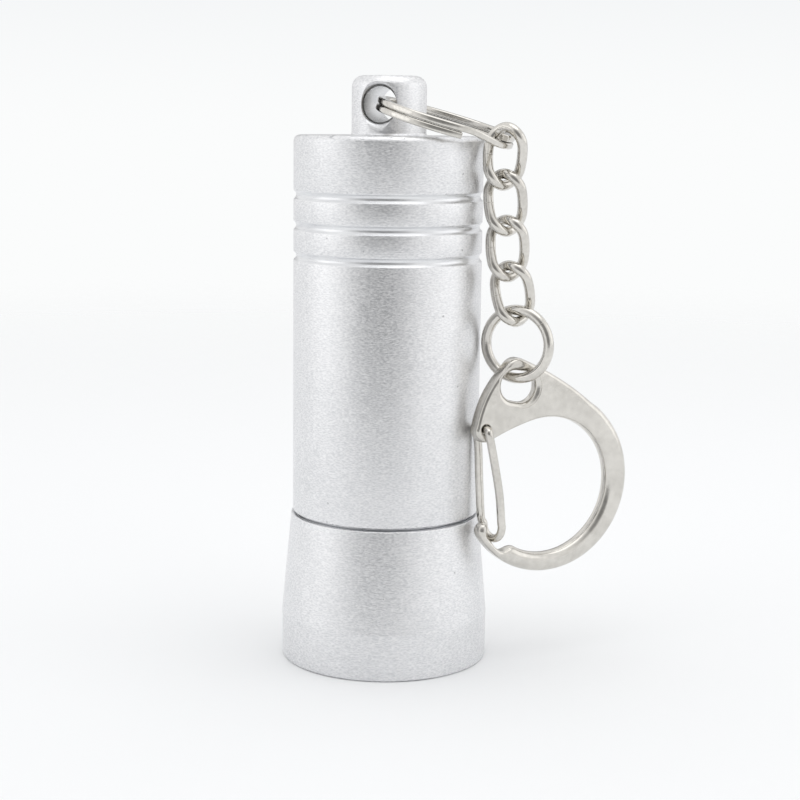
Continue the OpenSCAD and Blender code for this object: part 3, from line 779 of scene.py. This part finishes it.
@dataclass
class Cage:
    """The battery cage with its contacts, springs and three cells."""

    high: float = 66.15
    plate_t: float = 1.6
    inside_z: float = 17.25
    inside_h: float = 47.3
    cell_ring: float = 6.12
    cell_r: float = 5.2
    cell_l: float = 44.5
    contact_t: float = 0.3

    def cell_place(self, i: int) -> Matrix:
        """Returns the place of a cell's axis."""
        return turn(120 * i + 90, "Z") @ shift(self.cell_ring, 0, 0)

    def moulding(self) -> BMesh:
        """Builds the moulded cage, two end plates and three ribs, with softened edges."""
        bm = bmesh.new()
        bm.from_mesh(frame["nodes"]["battery_cage"].data)
        bmesh.ops.scale(bm, vec=(1 / MM,) * 3, verts=bm.verts)
        bmesh.ops.remove_doubles(bm, verts=bm.verts, dist=1e-3)
        bmesh.ops.dissolve_limit(bm, angle_limit=math.radians(1), verts=bm.verts, edges=bm.edges)
        sharp = [e for e in bm.edges if len(e.link_faces) == 2 and e.calc_face_angle(0) > math.radians(35)]
        bmesh.ops.bevel(bm, geom=sharp, offset=0.12, offset_type="OFFSET", segments=2, profile=0.5,
                        affect="EDGES", material=-1, clamp_overlap=True)
        return bm

    def cell(self, i: int) -> tuple[BMesh, float, int]:
        """Builds a cell with its can ends marked as steel.

        Args:
            i: The cell's number.

        Returns:
            The cell, the height of its positive end, and 1 or -1 for its way up.
        """
        way = 1 if i != 1 else -1
        tip = self.inside_z + self.contact_t if way > 0 else self.high - self.plate_t - self.contact_t
        r, end = self.cell_r, self.cell_l
        nub: list[Corner] = [(0, 0, 0), (1.9, 0, 0.3), (1.9, 0.9, 0.12)]
        shoulder = [(r - 1.1, 0.9, 0.1), (r - 0.9, 0.75, 0.05), (r - 0.35, 0.75, 0.2), (r, 1.15, 0.25)]
        base = [(r, end, 0.35), (r - 0.9, end, 0.08), (r - 1.1, end - 0.15, 0.08), (0, end - 0.15, 0)]
        bm = spun(rounded([*nub, *shoulder, *base]), 64)
        mark(bm, 1, lambda c: math.hypot(c.x, c.y) < r - 0.55)
        flip = Matrix.Scale(-1, 4, Vector((0, 0, 1))) if way < 0 else Matrix.Identity(4)
        placed(bm, self.cell_place(i) @ shift(0, 0, tip) @ flip)
        bmesh.ops.recalc_face_normals(bm, faces=bm.faces)
        return bm, tip, way

    def dress(self) -> None:
        """Builds and finishes every piece of the cage."""
        finished("battery_cage_moulding", self.moulding(), [Coat.ABS.value],
                 Where("cage", "black_plastic", ("battery_cage",)))
        button = rounded([(0, 15.25, 0), (2.4, 15.25, 0.3), (3.2, 15.37, 0.1), (3.2, 15.63, 0.06),
                          (1.1, 15.63, 0.05), (1.1, self.inside_z, 0.1), (0, self.inside_z, 0)])
        finished("cage_button_stamped", spun(button, 64), [Coat.BRASS.value],
                 Where("cage", "contact_brass", ("cage_button",)))
        top = self.high
        stem = [(0, top - self.plate_t, 0), (1.1, top - self.plate_t, 0.1), (1.1, top + 0.02, 0.05)]
        dish = [(5.4, top + 0.02, 0.05), (5.4, top + 0.35, 0.12), (2.6, top + 0.35, 0.4),
                (2.3, top + 0.27, 0.2), (0, top + 0.27, 0)]
        tail = rounded([*stem, *dish])
        finished("cage_tail_contact_stamped", spun(tail, 64), [Coat.BRASS.value],
                 Where("cage", "contact_brass", ("cage_tail_contact",)))
        plates, springs = [], []
        wire, reach = 0.22, 1.72
        for i in range(3):
            for z0, z1 in ((self.inside_z + 0.02, self.inside_z + 0.25),
                           (self.high - self.plate_t - 0.25, self.high - self.plate_t - 0.02)):
                plates.append(placed(spun(plate(0, z0, 3.6, z1, 0.06, 3), 48), self.cell_place(i)))
            low = self.inside_z + self.contact_t + wire
            high = self.inside_z + self.inside_h - self.contact_t - wire
            z0, z1 = (low, low + reach) if i == 1 else (high, high - reach)
            springs.append(placed(coil(3, 1.7, z0, z1, 3, wire), self.cell_place(i)))
        finished("cell_plates_stamped", joined(plates), [Coat.BRASS.value],
                 Where("cage", "contact_brass", ("cell_plates",)))
        finished("cell_springs_coiled", joined(springs), [Coat.SPRING.value],
                 Where("cage", "spring_steel", ("cell_springs",)))
        for i in range(3):
            bm, tip, way = self.cell(i)
            # Printed shrink sleeve: deep blue with an amber end, glossy over the can
            varnish = {"Coat Weight": 0.6, "Coat Roughness": 0.08}
            sleeve = SleeveFinish(f"printed_cell_sleeve_{i + 1}", "#24406E", "#1D365F", 0.0, (0.16, 0.26),
                                  1.2, relief=0.004, extra=varnish, tip=tip, way=way)
            finished(f"cell_{i + 1}_sleeved", bm, [sleeve, Coat.STEEL.value],
                     Where("cage", "cell_sleeve", (f"cell_{i + 1}",)))


@dataclass
class Barrel:
    """The grooved barrel with its threaded spigot and tail lug, its seal and its tail spring."""

    body_r: float = 13.5
    bore_r: float = 11.55
    root_r: float = 12.4
    crest_r: float = 12.8
    seal_groove_r: float = 12.05
    seal_groove_h: float = 1.04
    seal_groove_drop: float = 1.72
    low: float = 13.85
    seam: float = 21.65
    bore_top: float = 71.5
    tail: float = 75.7
    top: float = 84.0
    tail_round: float = 0.9
    groove_depth: float = 0.38
    groove_cut_r: float = 0.66
    grooves: tuple[float, ...] = (58.7, 63.0, 67.3)
    lug_r: float = 5.3
    lug_round: float = 1.6
    hole_r: float = 2.45
    hole_z: float = 80.0
    hole_turn: float = 18

    def profile(self, thread: Thread) -> list[Point]:
        """Returns the barrel's profile from the end of its bore round to the top of its lug."""
        corners: list[Corner] = [(0, self.bore_top, 0), (self.bore_r, self.bore_top, 0.4),
                                 (self.bore_r, self.low, 0.2), (self.root_r, self.low, 0.25)]
        inner = rounded([*corners, (self.root_r, self.seam, 0)])[:-1]
        wall = [(self.root_r, z) for z in thread.levels()]
        seal = self.seam - self.seal_groove_drop
        above = seal + self.seal_groove_h
        outer: list[Corner] = [(self.root_r, seal - 0.2, 0), (self.root_r, seal, 0.06),
                               (self.seal_groove_r, seal, 0.1), (self.seal_groove_r, above, 0.1),
                               (self.crest_r, above, 0.08), (self.crest_r, self.seam, 0.1),
                               (self.body_r, self.seam, 0.22)]
        out = self.body_r + self.groove_cut_r - self.groove_depth
        spread = math.degrees(math.acos((out - self.body_r) / self.groove_cut_r))
        points = rounded([*outer, (self.body_r, self.grooves[0], 0)])[:-1]
        lip = 0.07
        for z in self.grooves:
            cut = arc((out, z), self.groove_cut_r, 180 + spread, 180 - spread, 10)
            z0, z1, edge_r = cut[0][1], cut[-1][1], self.body_r - lip / 2
            points += [(self.body_r, z0 - 2 * lip), (edge_r, z0 - lip / 3), *cut[1:-1],
                       (edge_r, z1 + lip / 3), (self.body_r, z1 + 2 * lip)]
        end = rounded([(self.body_r, self.grooves[-1] + 1, 0), (self.body_r, self.tail, self.tail_round),
                       (self.lug_r, self.tail, 0.4), (self.lug_r, self.top, self.lug_round),
                       (0, self.top, 0)], steps=10)
        return inner + wall + points + end[1:]

    def hole_axis(self) -> Matrix:
        """Returns the place of the lug's cross hole, along Z of the returned frame."""
        return shift(0, 0, self.hole_z) @ turn(-self.hole_turn, "Z") @ turn(90, "X")

    def is_turned(self, spot: Vector) -> bool:
        """Returns whether a place is left as turned: the spigot, bore, grooves and cross hole."""
        r, z = math.hypot(spot.x, spot.y), spot.z
        away = self.hole_axis().inverted() @ spot
        in_hole = math.hypot(away.x, away.y) < self.hole_r + 0.4 and z > self.tail
        in_bore = r < self.bore_r + 0.05 and z < self.tail - 1
        in_groove = r < self.body_r - 0.04 and any(abs(z - groove) < 0.6 for groove in self.grooves)
        return z < self.seam + 0.02 or in_hole or in_bore or in_groove

    def dress(self) -> None:
        """Builds and finishes the barrel and what stays inside it."""
        thread = Thread(14.3, self.seam - 2.0)
        bm = spun(self.profile(thread), 192)
        thread.cut(bm, self.root_r)
        hole = placed(trumpet(self.hole_r, 3.95, self.lug_r + 1, 1.3), self.hole_axis())
        bm = bored(bm, hole)
        mark(bm, 1, self.is_turned)
        finished("barrel_turned", bm, [Coat.BLASTED.value, Coat.TURNED.value],
                 Where("barrel", "anodised_aluminium", ("barrel",)), 30)
        seal = torus(self.seal_groove_r + 0.4, self.seam - 1.2, 0.375)
        finished("head_seal_cord", seal, [Coat.RUBBER.value],
                 Where("barrel_inner", "seal_rubber", ("head_seal",)))
        finished("tail_spring_coil", coil(4.4, 8.6, 66.9, 71.1, 4, 0.35), [Coat.SPRING.value],
                 Where("barrel_inner", "spring_steel", ("tail_spring",)))


def joint_place(name: str) -> Vector:
    """Returns a joint's place in millimetres."""
    found = next(j for j in frame["record"]["behaviour"]["joints"] if j["name"] == name)
    return Vector(found["pos_m"]) / MM


@dataclass
class SplitRing:
    """The two-coil split ring, with the short slope where one coil crosses to the other."""

    radius: float = 9.2466
    inset: float = 8.6466
    width: float = 1.5
    coil_t: float = 0.92
    slope: float = 16
    lean: float = -0.7
    turn: float = 18
    cut: float = 22
    jog: float = 35

    def dress(self) -> None:
        """Builds and finishes the ring."""
        hang = shift(*joint_place("split_ring_swing")) @ turn(-self.turn, "Z")
        place = hang @ turn(self.slope, "Y") @ turn(self.lean, "X") @ shift(self.inset, 0, 0)
        w, t = self.width / 2, self.coil_t / 2
        section = rounded([(-w, -t, 0.3), (w, -t, 0.3), (w, t, 0.3), (-w, t, 0.3)], closed=True, steps=5)
        lift, steps = t + 0.04, 260
        path = []
        for i in range(steps + 1):
            angle = self.cut + (720 - 2 * self.cut) * i / steps
            share = min(max((angle - 360 + self.cut) / (2 * self.cut), 0), 1)
            x, y = turned(angle - self.jog, self.radius)
            path.append(Vector((x, y, lift * (1 - 2 * share * share * (3 - 2 * share)))))
        ends, sizes = domed(path[1:-1], 0.12, 3)
        sizes = [max(s, 0.86) for s in sizes]
        bm = swept(ends, section, Vector((0, 0, 1)), scales=sizes)
        finished("split_ring_wound", placed(bm, place), [Coat.NICKEL.value],
                 Where("split_ring", "nickel_plate", ("split_ring",)))


@dataclass
class Chain:
    """Four twisted curb links and the round jump ring below them."""

    wire: float = 1.45
    width: float = 6.2
    height: float = 9.5
    tilts: tuple[float, ...] = (-3, 5, 3, 11)
    first_gap: float = 0.3
    coils_t: float = 0.96
    hang_gap: float = 0.15
    jump_wire: float = 1.5
    jump_od: float = 11.2
    jump_turn: float = -29
    jump_step: int = 3
    jump_joint: int = 13

    def seam(self, count: int, at: int) -> list[float]:
        """Returns section sizes with the fine butt joint where the wire's ends meet."""
        return [0.93 if i == at else 1.0 for i in range(count)]

    def link(self) -> BMesh:
        """Builds one link that hangs from its top wire at the origin, twisted a quarter turn."""
        a, tall, n = (self.width - self.wire) / 2, self.height - self.wire, 26
        h = tall / 2 - a
        loop = [(x, h + y) for x, y in arc((0, 0), a, 0, 180, n)]
        loop += [(-a, h - 2 * h * k / 10) for k in range(1, 5)] + [(-a, 0.05), (-a, 0), (-a, -0.05)]
        loop += [(-a, h - 2 * h * k / 10) for k in range(6, 10)]
        loop += [(-x, -h - y) for x, y in arc((0, 0), a, 0, 180, n)]
        loop += [(a, -h + 2 * h * k / 10) for k in range(1, 10)]
        path = []
        for x, y in loop:
            twist = math.radians(-90 * y / tall)
            path.append(Vector((x * math.cos(twist), x * math.sin(twist), y - tall / 2)))
        at = loop.index((-a, 0))
        return swept(path, circle(self.wire / 2, 18), Vector((0, 1, 0)), True, self.seam(len(path), at))

    def dress(self) -> None:
        """Builds and finishes the links and the jump ring."""
        tall = self.height - self.wire
        step = tall - self.wire - self.hang_gap - 0.05
        top = joint_place("link_1_swing") + Vector((0, 0, self.coils_t + self.wire / 2 + self.first_gap))
        for i, tilt in enumerate(self.tilts):
            place = shift(*top) @ turn(-tilt, "Y")
            finished(f"chain_link_{i + 1}_curb", placed(self.link(), place), [Coat.NICKEL.value],
                     Where(f"link_{i + 1}", "nickel_plate", (f"chain_link_{i + 1}",)))
            top = top + Vector((math.sin(math.radians(tilt)), 0, -math.cos(math.radians(tilt)))) * step
        radius = (self.jump_od - self.jump_wire) / 2
        centre = joint_place("clasp_swing") + Vector((0, 0, radius))
        place = shift(*centre) @ turn(self.jump_turn, "Z")
        angles: list[float] = [self.jump_step * i for i in range(360 // self.jump_step)]
        at = self.jump_joint
        angles[at : at + 1] = [angles[at] - 0.6, angles[at], angles[at] + 0.6]
        path = [Vector((x, 0, z)) for x, z in (turned(a, radius) for a in angles)]
        sizes = self.seam(len(path), at + 1)
        bm = swept(path, circle(self.jump_wire / 2, 20), Vector((0, 1, 0)), True, sizes)
        finished("jump_ring_round", placed(bm, place), [Coat.NICKEL.value],
                 Where("jump_ring", "nickel_plate", ("jump_ring",)))


@dataclass
class Clasp:
    """The cast clasp: a flat shoulder with an eye, a round bow with a notched tip, and a bent wire gate."""

    bow_r: float = 10.0
    bow_w: float = 3.2
    thick: float = 2.4
    turn: float = 25
    eye: Point = (-4.95, 14.7)
    eye_w: float = 5.5
    eye_h: float = 4.4
    eye_tilt: float = -12
    eye_throat: float = 0.22
    eye_flare: float = 0.9
    pivot: Point = (-10.203, 8.901)
    foot: Point = (-8.302, -7.217)
    gate_wire: float = 1.2
    drop: float = 1.1
    tip_angle: float = -157

    def place(self) -> Matrix:
        """Returns the place of the clasp's own plane, with its bow's centre at the origin."""
        hang = joint_place("clasp_swing")
        low = hang.z + self.drop - (self.eye[1] + self.eye_h / 2)
        return shift(hang.x, hang.y, low) @ turn(self.turn, "Z") @ shift(-self.eye[0], 0, 0) @ turn(90, "X")

    @staticmethod
    def tangent(c1: Point, r1: float, c2: Point, r2: float) -> float:
        """Returns the angle of the outside tangent from one circle to another."""
        dx, dy = c2[0] - c1[0], c2[1] - c1[1]
        return math.degrees(math.atan2(dy, dx) - math.acos((r1 - r2) / math.hypot(dx, dy))) % 360

    @staticmethod
    def bowed(start: Point, end: Point, swell: float, steps: int = 12) -> list[Point]:
        """Returns the points of a shallow arc between two points."""
        p, d = Vector(start), Vector(end) - Vector(start)
        side = Vector((-d.y, d.x)).normalized()
        shares = [k / steps for k in range(1, steps)]
        return [tuple(p + d * t + side * swell * 4 * t * (1 - t)) for t in shares]

    def outside(self) -> list[Point]:
        """Returns the outer contour from the tip, round the bow and over the eye to the gate's lobe."""
        big, r = (0.4, 0.4), self.bow_r + self.bow_w
        over, over_r = (self.eye[0] - 0.25, self.eye[1] + 2.1), 2.0
        lobe, lobe_r = (self.pivot[0], self.pivot[1] - 0.35), 1.65
        a1, a2 = self.tangent(big, r, over, over_r), self.tangent(over, over_r, lobe, lobe_r)
        back = self.bowed(turned(a1, r, big), turned(a1, over_r, over), -0.45)
        front = self.bowed(turned(a2, over_r, over), turned(a2, lobe_r, lobe), -0.8)
        return [*arc(big, r, self.tip_angle, a1, 80), *back, *arc(over, over_r, a1, a2, 14), *front,
                *arc(lobe, lobe_r, a2, 238, 14)]

    def inside(self) -> list[Point]:
        """Returns the inner contour from the tip, past the gate's notch and round the bow to the lobe."""
        r, notch = self.bow_r, self.bow_r + 1.72
        lobe, lobe_r = (self.pivot[0], self.pivot[1] - 0.35), 1.65
        steps = ((self.tip_angle, r + 0.35, 0), (-153.5, r + 0.25, 0.5), (-146.5, notch - 0.05, 0.7),
                 (-135, notch + 0.05, 0), (-127, notch - 0.05, 1.0), (-122.5, r, 1.0), (-116, r, 0))
        shoulder = rounded([(*turned(angle, reach), soft) for angle, reach, soft in steps])
        under = self.bowed(turned(104, r), turned(290, lobe_r, lobe), -0.22)
        return [*shoulder, *arc((0, 0), r, -115, 104, 90), *under, *arc(lobe, lobe_r, 290, 238, 8)]

    @staticmethod
    def reach(contour: Sequence[Point], angle: float) -> float:
        """Returns a contour's distance from the bow's centre at an angle in degrees."""
        ray = Vector(turned(angle, 1))
        best = 0.0
        for p, q in zip(contour, contour[1:]):
            a, b = Vector(p), Vector(q)
            ca, cb = ray.x * a.y - ray.y * a.x, ray.x * b.y - ray.y * b.x
            if ca * cb <= 0 and ca != cb:
                t = ca / (ca - cb)
                best = max(best, (a + (b - a) * t).dot(ray))
        return best

    def section(self, inner: float, outer: float, soft: float, thick: float) -> list[Point]:
        """Returns a rounded section between two radii."""
        edge = min(soft, 0.48 * (outer - inner), 0.49 * thick)
        h = thick / 2
        return plate(inner, -h, outer, h, edge)

    def hook(self) -> BMesh:
        """Builds the casting from sections round the bow's centre, then cuts its eye and pivot hole."""
        outside, inside = self.outside(), self.inside()
        first, last = -155.2, 146.9
        angles = [first + (last - first) * k / 210 for k in range(211)]
        bm = bmesh.new()
        verts: list[bmesh.types.BMVert] = []
        edges: Edges = []
        start: Edges = []
        for angle in angles:
            sides = self.reach(inside, angle), self.reach(outside, angle)
            spots = self.station(angle, angle - first, last - angle, sides)
            if edges:
                edges = extruded(bm, edges)
                verts = [self.follower(vert, edges) for vert in verts]
                for vert, spot in zip(verts, spots):
                    vert.co = spot
            else:
                verts = [bm.verts.new(spot) for spot in spots]
                edges = start = [bm.edges.new(pair) for pair in zip(verts, verts[1:] + verts[:1])]
        for loop in (start, edges):
            bmesh.ops.edgeloop_fill(bm, edges=loop)
        return bored(bored(tidy(bm), self.eye_cutter()), self.pivot_cutter())

    def station(self, angle: float, past_tip: float, before_end: float, sides: Point) -> list[Vector]:
        """Returns the casting's section at an angle about the bow's centre.

        Args:
            angle: The angle in degrees.
            past_tip: Degrees from the tip, where the section grows from a rounded end.
            before_end: Degrees to the lobe's end, where it rounds off again.
            sides: Distance of the inner and the outer contour from the bow's centre.

        Returns:
            The section's points.
        """
        inner, outer = sides
        flat = min(max((angle - 35) / 40, 0), 1)
        soft = 1.12 - 0.5 * flat * flat * (3 - 2 * flat)
        tip = min(math.radians(past_tip) * outer / 1.3 + 0.04, 1)
        end = min(math.radians(before_end) * outer / 0.8 + 0.06, 1)
        squeeze = math.sqrt(1 - (1 - tip) ** 2) * math.sqrt(1 - (1 - end) ** 2)
        middle = (inner + outer) / 2
        half = (outer - inner) * (squeeze if angle < 0 else 1) / 2
        ring = self.section(middle - half, middle + half, soft, self.thick * squeeze)
        return [Vector((*turned(angle, r), z)) for r, z in ring]

    @staticmethod
    def follower(vert: bmesh.types.BMVert, ends: Edges) -> bmesh.types.BMVert:
        """Returns the vertex that an extrusion grew from another."""
        fresh = {v for e in ends for v in e.verts}
        return next(e.other_vert(vert) for e in vert.link_edges if e.other_vert(vert) in fresh)

    def eye_cutter(self) -> BMesh:
        """Builds the cutter for the eye: a slot whose two mouths open in a smooth curve."""
        bm = trumpet(self.eye_h / 2, self.eye_throat, self.thick, self.eye_flare)
        half = (self.eye_w - self.eye_h) / 2
        for vert in bm.verts:
            vert.co.x += math.copysign(half, vert.co.x) if abs(vert.co.x) > 1e-4 else 0
        return placed(bm, shift(*self.eye, 0) @ turn(self.eye_tilt, "Z"))

    def pivot_cutter(self) -> BMesh:
        """Builds the cutter for the hole that the gate's ends turn in."""
        hole = trumpet(self.gate_wire / 2 + 0.1, self.thick / 2 - 0.25, self.thick, 0.25, 40)
        return placed(hole, shift(*self.pivot, 0))

    def gate(self) -> BMesh:
        """Builds the gate from one bent wire whose foot rests in the notch."""
        side, bend = self.thick / 2 + self.gate_wire / 2 + 0.12, (0.45, 1.9)
        pivot, foot = Vector(self.pivot), Vector(self.foot)

        def leg(share: float, aside: float, z: float) -> Vector:
            """Returns a point part of the way from the pivot to the foot."""
            spot = pivot + (foot - pivot) * share
            return Vector((spot.x + aside, spot.y, z))

        def end(sign: int) -> list[Vector]:
            """Returns the points where one end turns into the pivot hole."""
            x, y = self.pivot
            return [Vector((x, y, sign * 0.2)), Vector((x, y, sign * (side - 0.9))),
                    Vector((x, y - 0.2, sign * (side - 0.25))), Vector((x + 0.1, y - 0.9, sign * side))]

        loop = []
        for k in range(7):
            a = math.radians(30 * k)
            across, down = bend[0] * math.cos(a), bend[1] * (1 - math.sin(a))
            loop.append(Vector((foot.x + across, foot.y + down, side * math.cos(a))))
        front = [leg(share, aside, side) for share, aside in ((0.29, 0.4), (0.577, 0.75), (0.825, 0.68))]
        back = [leg(share, aside, -side) for share, aside in ((0.813, -0.54), (0.459, -0.27), (0.205, 0.01))]
        points = [*end(1), *front, *loop, *back, *reversed(end(-1))]
        return swept(smooth_path(points), circle(self.gate_wire / 2 - 0.01, 18), Vector((1, 0, 0)))

    def dress(self) -> None:
        """Builds and finishes the clasp and its gate."""
        finished("clasp_hook_cast", placed(self.hook(), self.place()), [Coat.CASTING.value],
                 Where("clasp", "plated_zinc", ("clasp_hook",)), 44)
        finished("clasp_gate_wire", placed(self.gate(), self.place()), [Coat.NICKEL.value],
                 Where("gate", "nickel_plate", ("clasp_gate",)))


@dataclass
class Studio:
    """A white table that fades into a white room, soft lights and the camera."""

    room: str = "#FBFCFC"
    room_top: str = "#EFF1F3"
    floor: str = "#F4F5F6"
    lens: float = 75.3
    pitch: float = 9.47
    roll: float = -0.689
    yaw: float = 0.48
    place: tuple[float, float, float] = (0, -0.24008, 0.07775)
    # Direction, share of the light and width (as a cosine) of each dimmer side of the room
    dim_sides: tuple[tuple[tuple[float, float, float], float, float], ...] = (
        ((-0.12, -0.97, 0.18), 0.28, 0.66),
        ((0.0, 0.98, 0.15), 0.5, 0.85),
    )
    # Name, place, size in metres and power in watts of each soft panel
    panels: tuple[tuple[str, tuple[float, float, float], float, float], ...] = (
        ("overhead", (0.05, -0.05, 0.55), 0.5, 0.45),
        ("left", (-0.5, -0.1, 0.2), 0.4, 0.15),
        ("right", (0.5, -0.05, 0.2), 0.4, 0.15),
    )

    def table(self) -> None:
        """Makes the floor: a wide white disc whose edge fades away."""
        bm = bmesh.new()
        bmesh.ops.create_circle(bm, cap_ends=True, radius=2.2, segments=96)
        bmesh.ops.translate(bm, vec=(0, 0, -0.00002), verts=bm.verts)
        mesh = bpy.data.meshes.new("floor")
        bm.to_mesh(mesh)
        bm.free()
        # Matt white card: bright, with no visible grain
        board = bpy.data.materials.new("matt_white_board")
        board.use_nodes = True
        tree = board.node_tree
        tree.nodes.clear()
        where = node(tree, "TexCoord", out="Object")
        away = node(tree, "VectorMath", {0: where}, "Value", operation="LENGTH")
        soft = {"interpolation_type": "SMOOTHSTEP"}
        seen = node(tree, "MapRange", {"Value": away, "From Min": 0.15, "From Max": 0.6}, **soft)
        # What the metal mirrors of the table ends sooner in front, where the room is dimmer
        front = node(tree, "SeparateXYZ", {0: where}, "Y")
        mirrored = node(tree, "MapRange", {"Value": front, "From Min": -0.14, "From Max": -0.55}, **soft)
        camera = node(tree, "LightPath", out="Is Camera Ray")
        spread = node(tree, "Mix", {0: camera, 2: mirrored, 3: seen}, data_type="FLOAT")
        under = node(tree, "NewGeometry", out="Backfacing")
        fade = node(tree, "Math", {0: spread, 1: under}, operation="MAXIMUM")
        matt = node(tree, "BsdfDiffuse", {"Color": linear(self.floor)})
        clear = node(tree, "BsdfTransparent")
        node(tree, "OutputMaterial", {"Surface": node(tree, "MixShader", {0: fade, 1: matt, 2: clear})})
        mesh.materials.append(board)
        floor = bpy.data.objects.new("floor", mesh)
        bpy.context.scene.collection.objects.link(floor)

    def surroundings(self) -> None:
        """Makes the room: white to look at, and white with a dimmer side behind the camera to light by."""
        world = bpy.data.worlds.new("white_room")
        world.use_nodes = True
        tree = world.node_tree
        tree.nodes.clear()
        way = node(tree, "TexCoord", out="Generated")
        height = node(tree, "SeparateXYZ", {0: way}, "Z")
        soft = {"interpolation_type": "SMOOTHSTEP"}
        rise = node(tree, "MapRange", {"Value": height, "From Min": -0.02, "From Max": 0.16}, **soft)
        colours = {6: linear(self.room), 7: linear(self.room_top)}
        seen = node(tree, "Mix", {0: rise, **colours}, 2, data_type="RGBA")
        light: Any = 1.0
        for lobe, low, wide in self.dim_sides:
            middle = Vector(lobe).normalized()
            near = node(tree, "VectorMath", {0: way, 1: middle}, "Value", operation="DOT_PRODUCT")
            span = {"From Min": wide, "From Max": 0.985, "To Min": 1.0, "To Max": low}
            share = node(tree, "MapRange", {"Value": near, **span}, **soft)
            light = node(tree, "Math", {0: share, 1: light}, operation="MULTIPLY")
        camera = node(tree, "LightPath", out="Is Camera Ray")
        view = node(tree, "Background", {"Color": seen, "Strength": 1.0})
        lit = node(tree, "Background", {"Color": linear("#FFFFFF"), "Strength": light})
        node(tree, "OutputWorld", {"Surface": node(tree, "MixShader", {0: camera, 1: lit, 2: view})})
        bpy.context.scene.world = world

    def lights(self) -> None:
        """Makes three soft panels: overhead, and one at each side."""
        for name, spot, size, power in self.panels:
            data = bpy.data.lights.new(name, "AREA")
            data.shape, data.size, data.energy = "DISK", size, power
            lamp = bpy.data.objects.new(name, data)
            lamp.location = spot
            lamp.rotation_euler = (Vector((0, 0, 0.04)) - Vector(spot)).to_track_quat("-Z", "Y").to_euler()
            bpy.context.scene.collection.objects.link(lamp)

    def camera(self) -> None:
        """Makes the camera."""
        data = bpy.data.cameras.new("camera")
        data.lens, data.clip_start, data.clip_end = self.lens, 0.01, 50
        camera = bpy.data.objects.new("camera", data)
        y, t, r = (math.radians(a) for a in (self.yaw, self.pitch, self.roll))
        forward = Vector((math.sin(y) * math.cos(t), math.cos(y) * math.cos(t), -math.sin(t)))
        level = Vector((math.cos(y), -math.sin(y), 0))
        high = level.cross(forward)
        right = math.cos(r) * level - math.sin(r) * high
        up = math.sin(r) * level + math.cos(r) * high
        facing = Matrix((right, up, -forward)).transposed().to_4x4()
        camera.matrix_world = shift(*self.place) @ facing
        bpy.context.scene.collection.objects.link(camera)
        bpy.context.scene.camera = camera

    def prepare(self) -> None:
        """Makes the whole studio."""
        self.table()
        self.surroundings()
        self.lights()
        self.camera()
        bpy.context.scene.view_settings.view_transform = "Standard"


def main() -> None:
    """Builds the studio and each sub-assembly in order."""
    logging.basicConfig(level=logging.INFO, format="%(name)s: %(message)s")
    Studio().prepare()
    for assembly in (Head(), Cage(), Barrel(), SplitRing(), Chain(), Clasp()):
        assembly.dress()


if __name__ == "__main__":
    main()
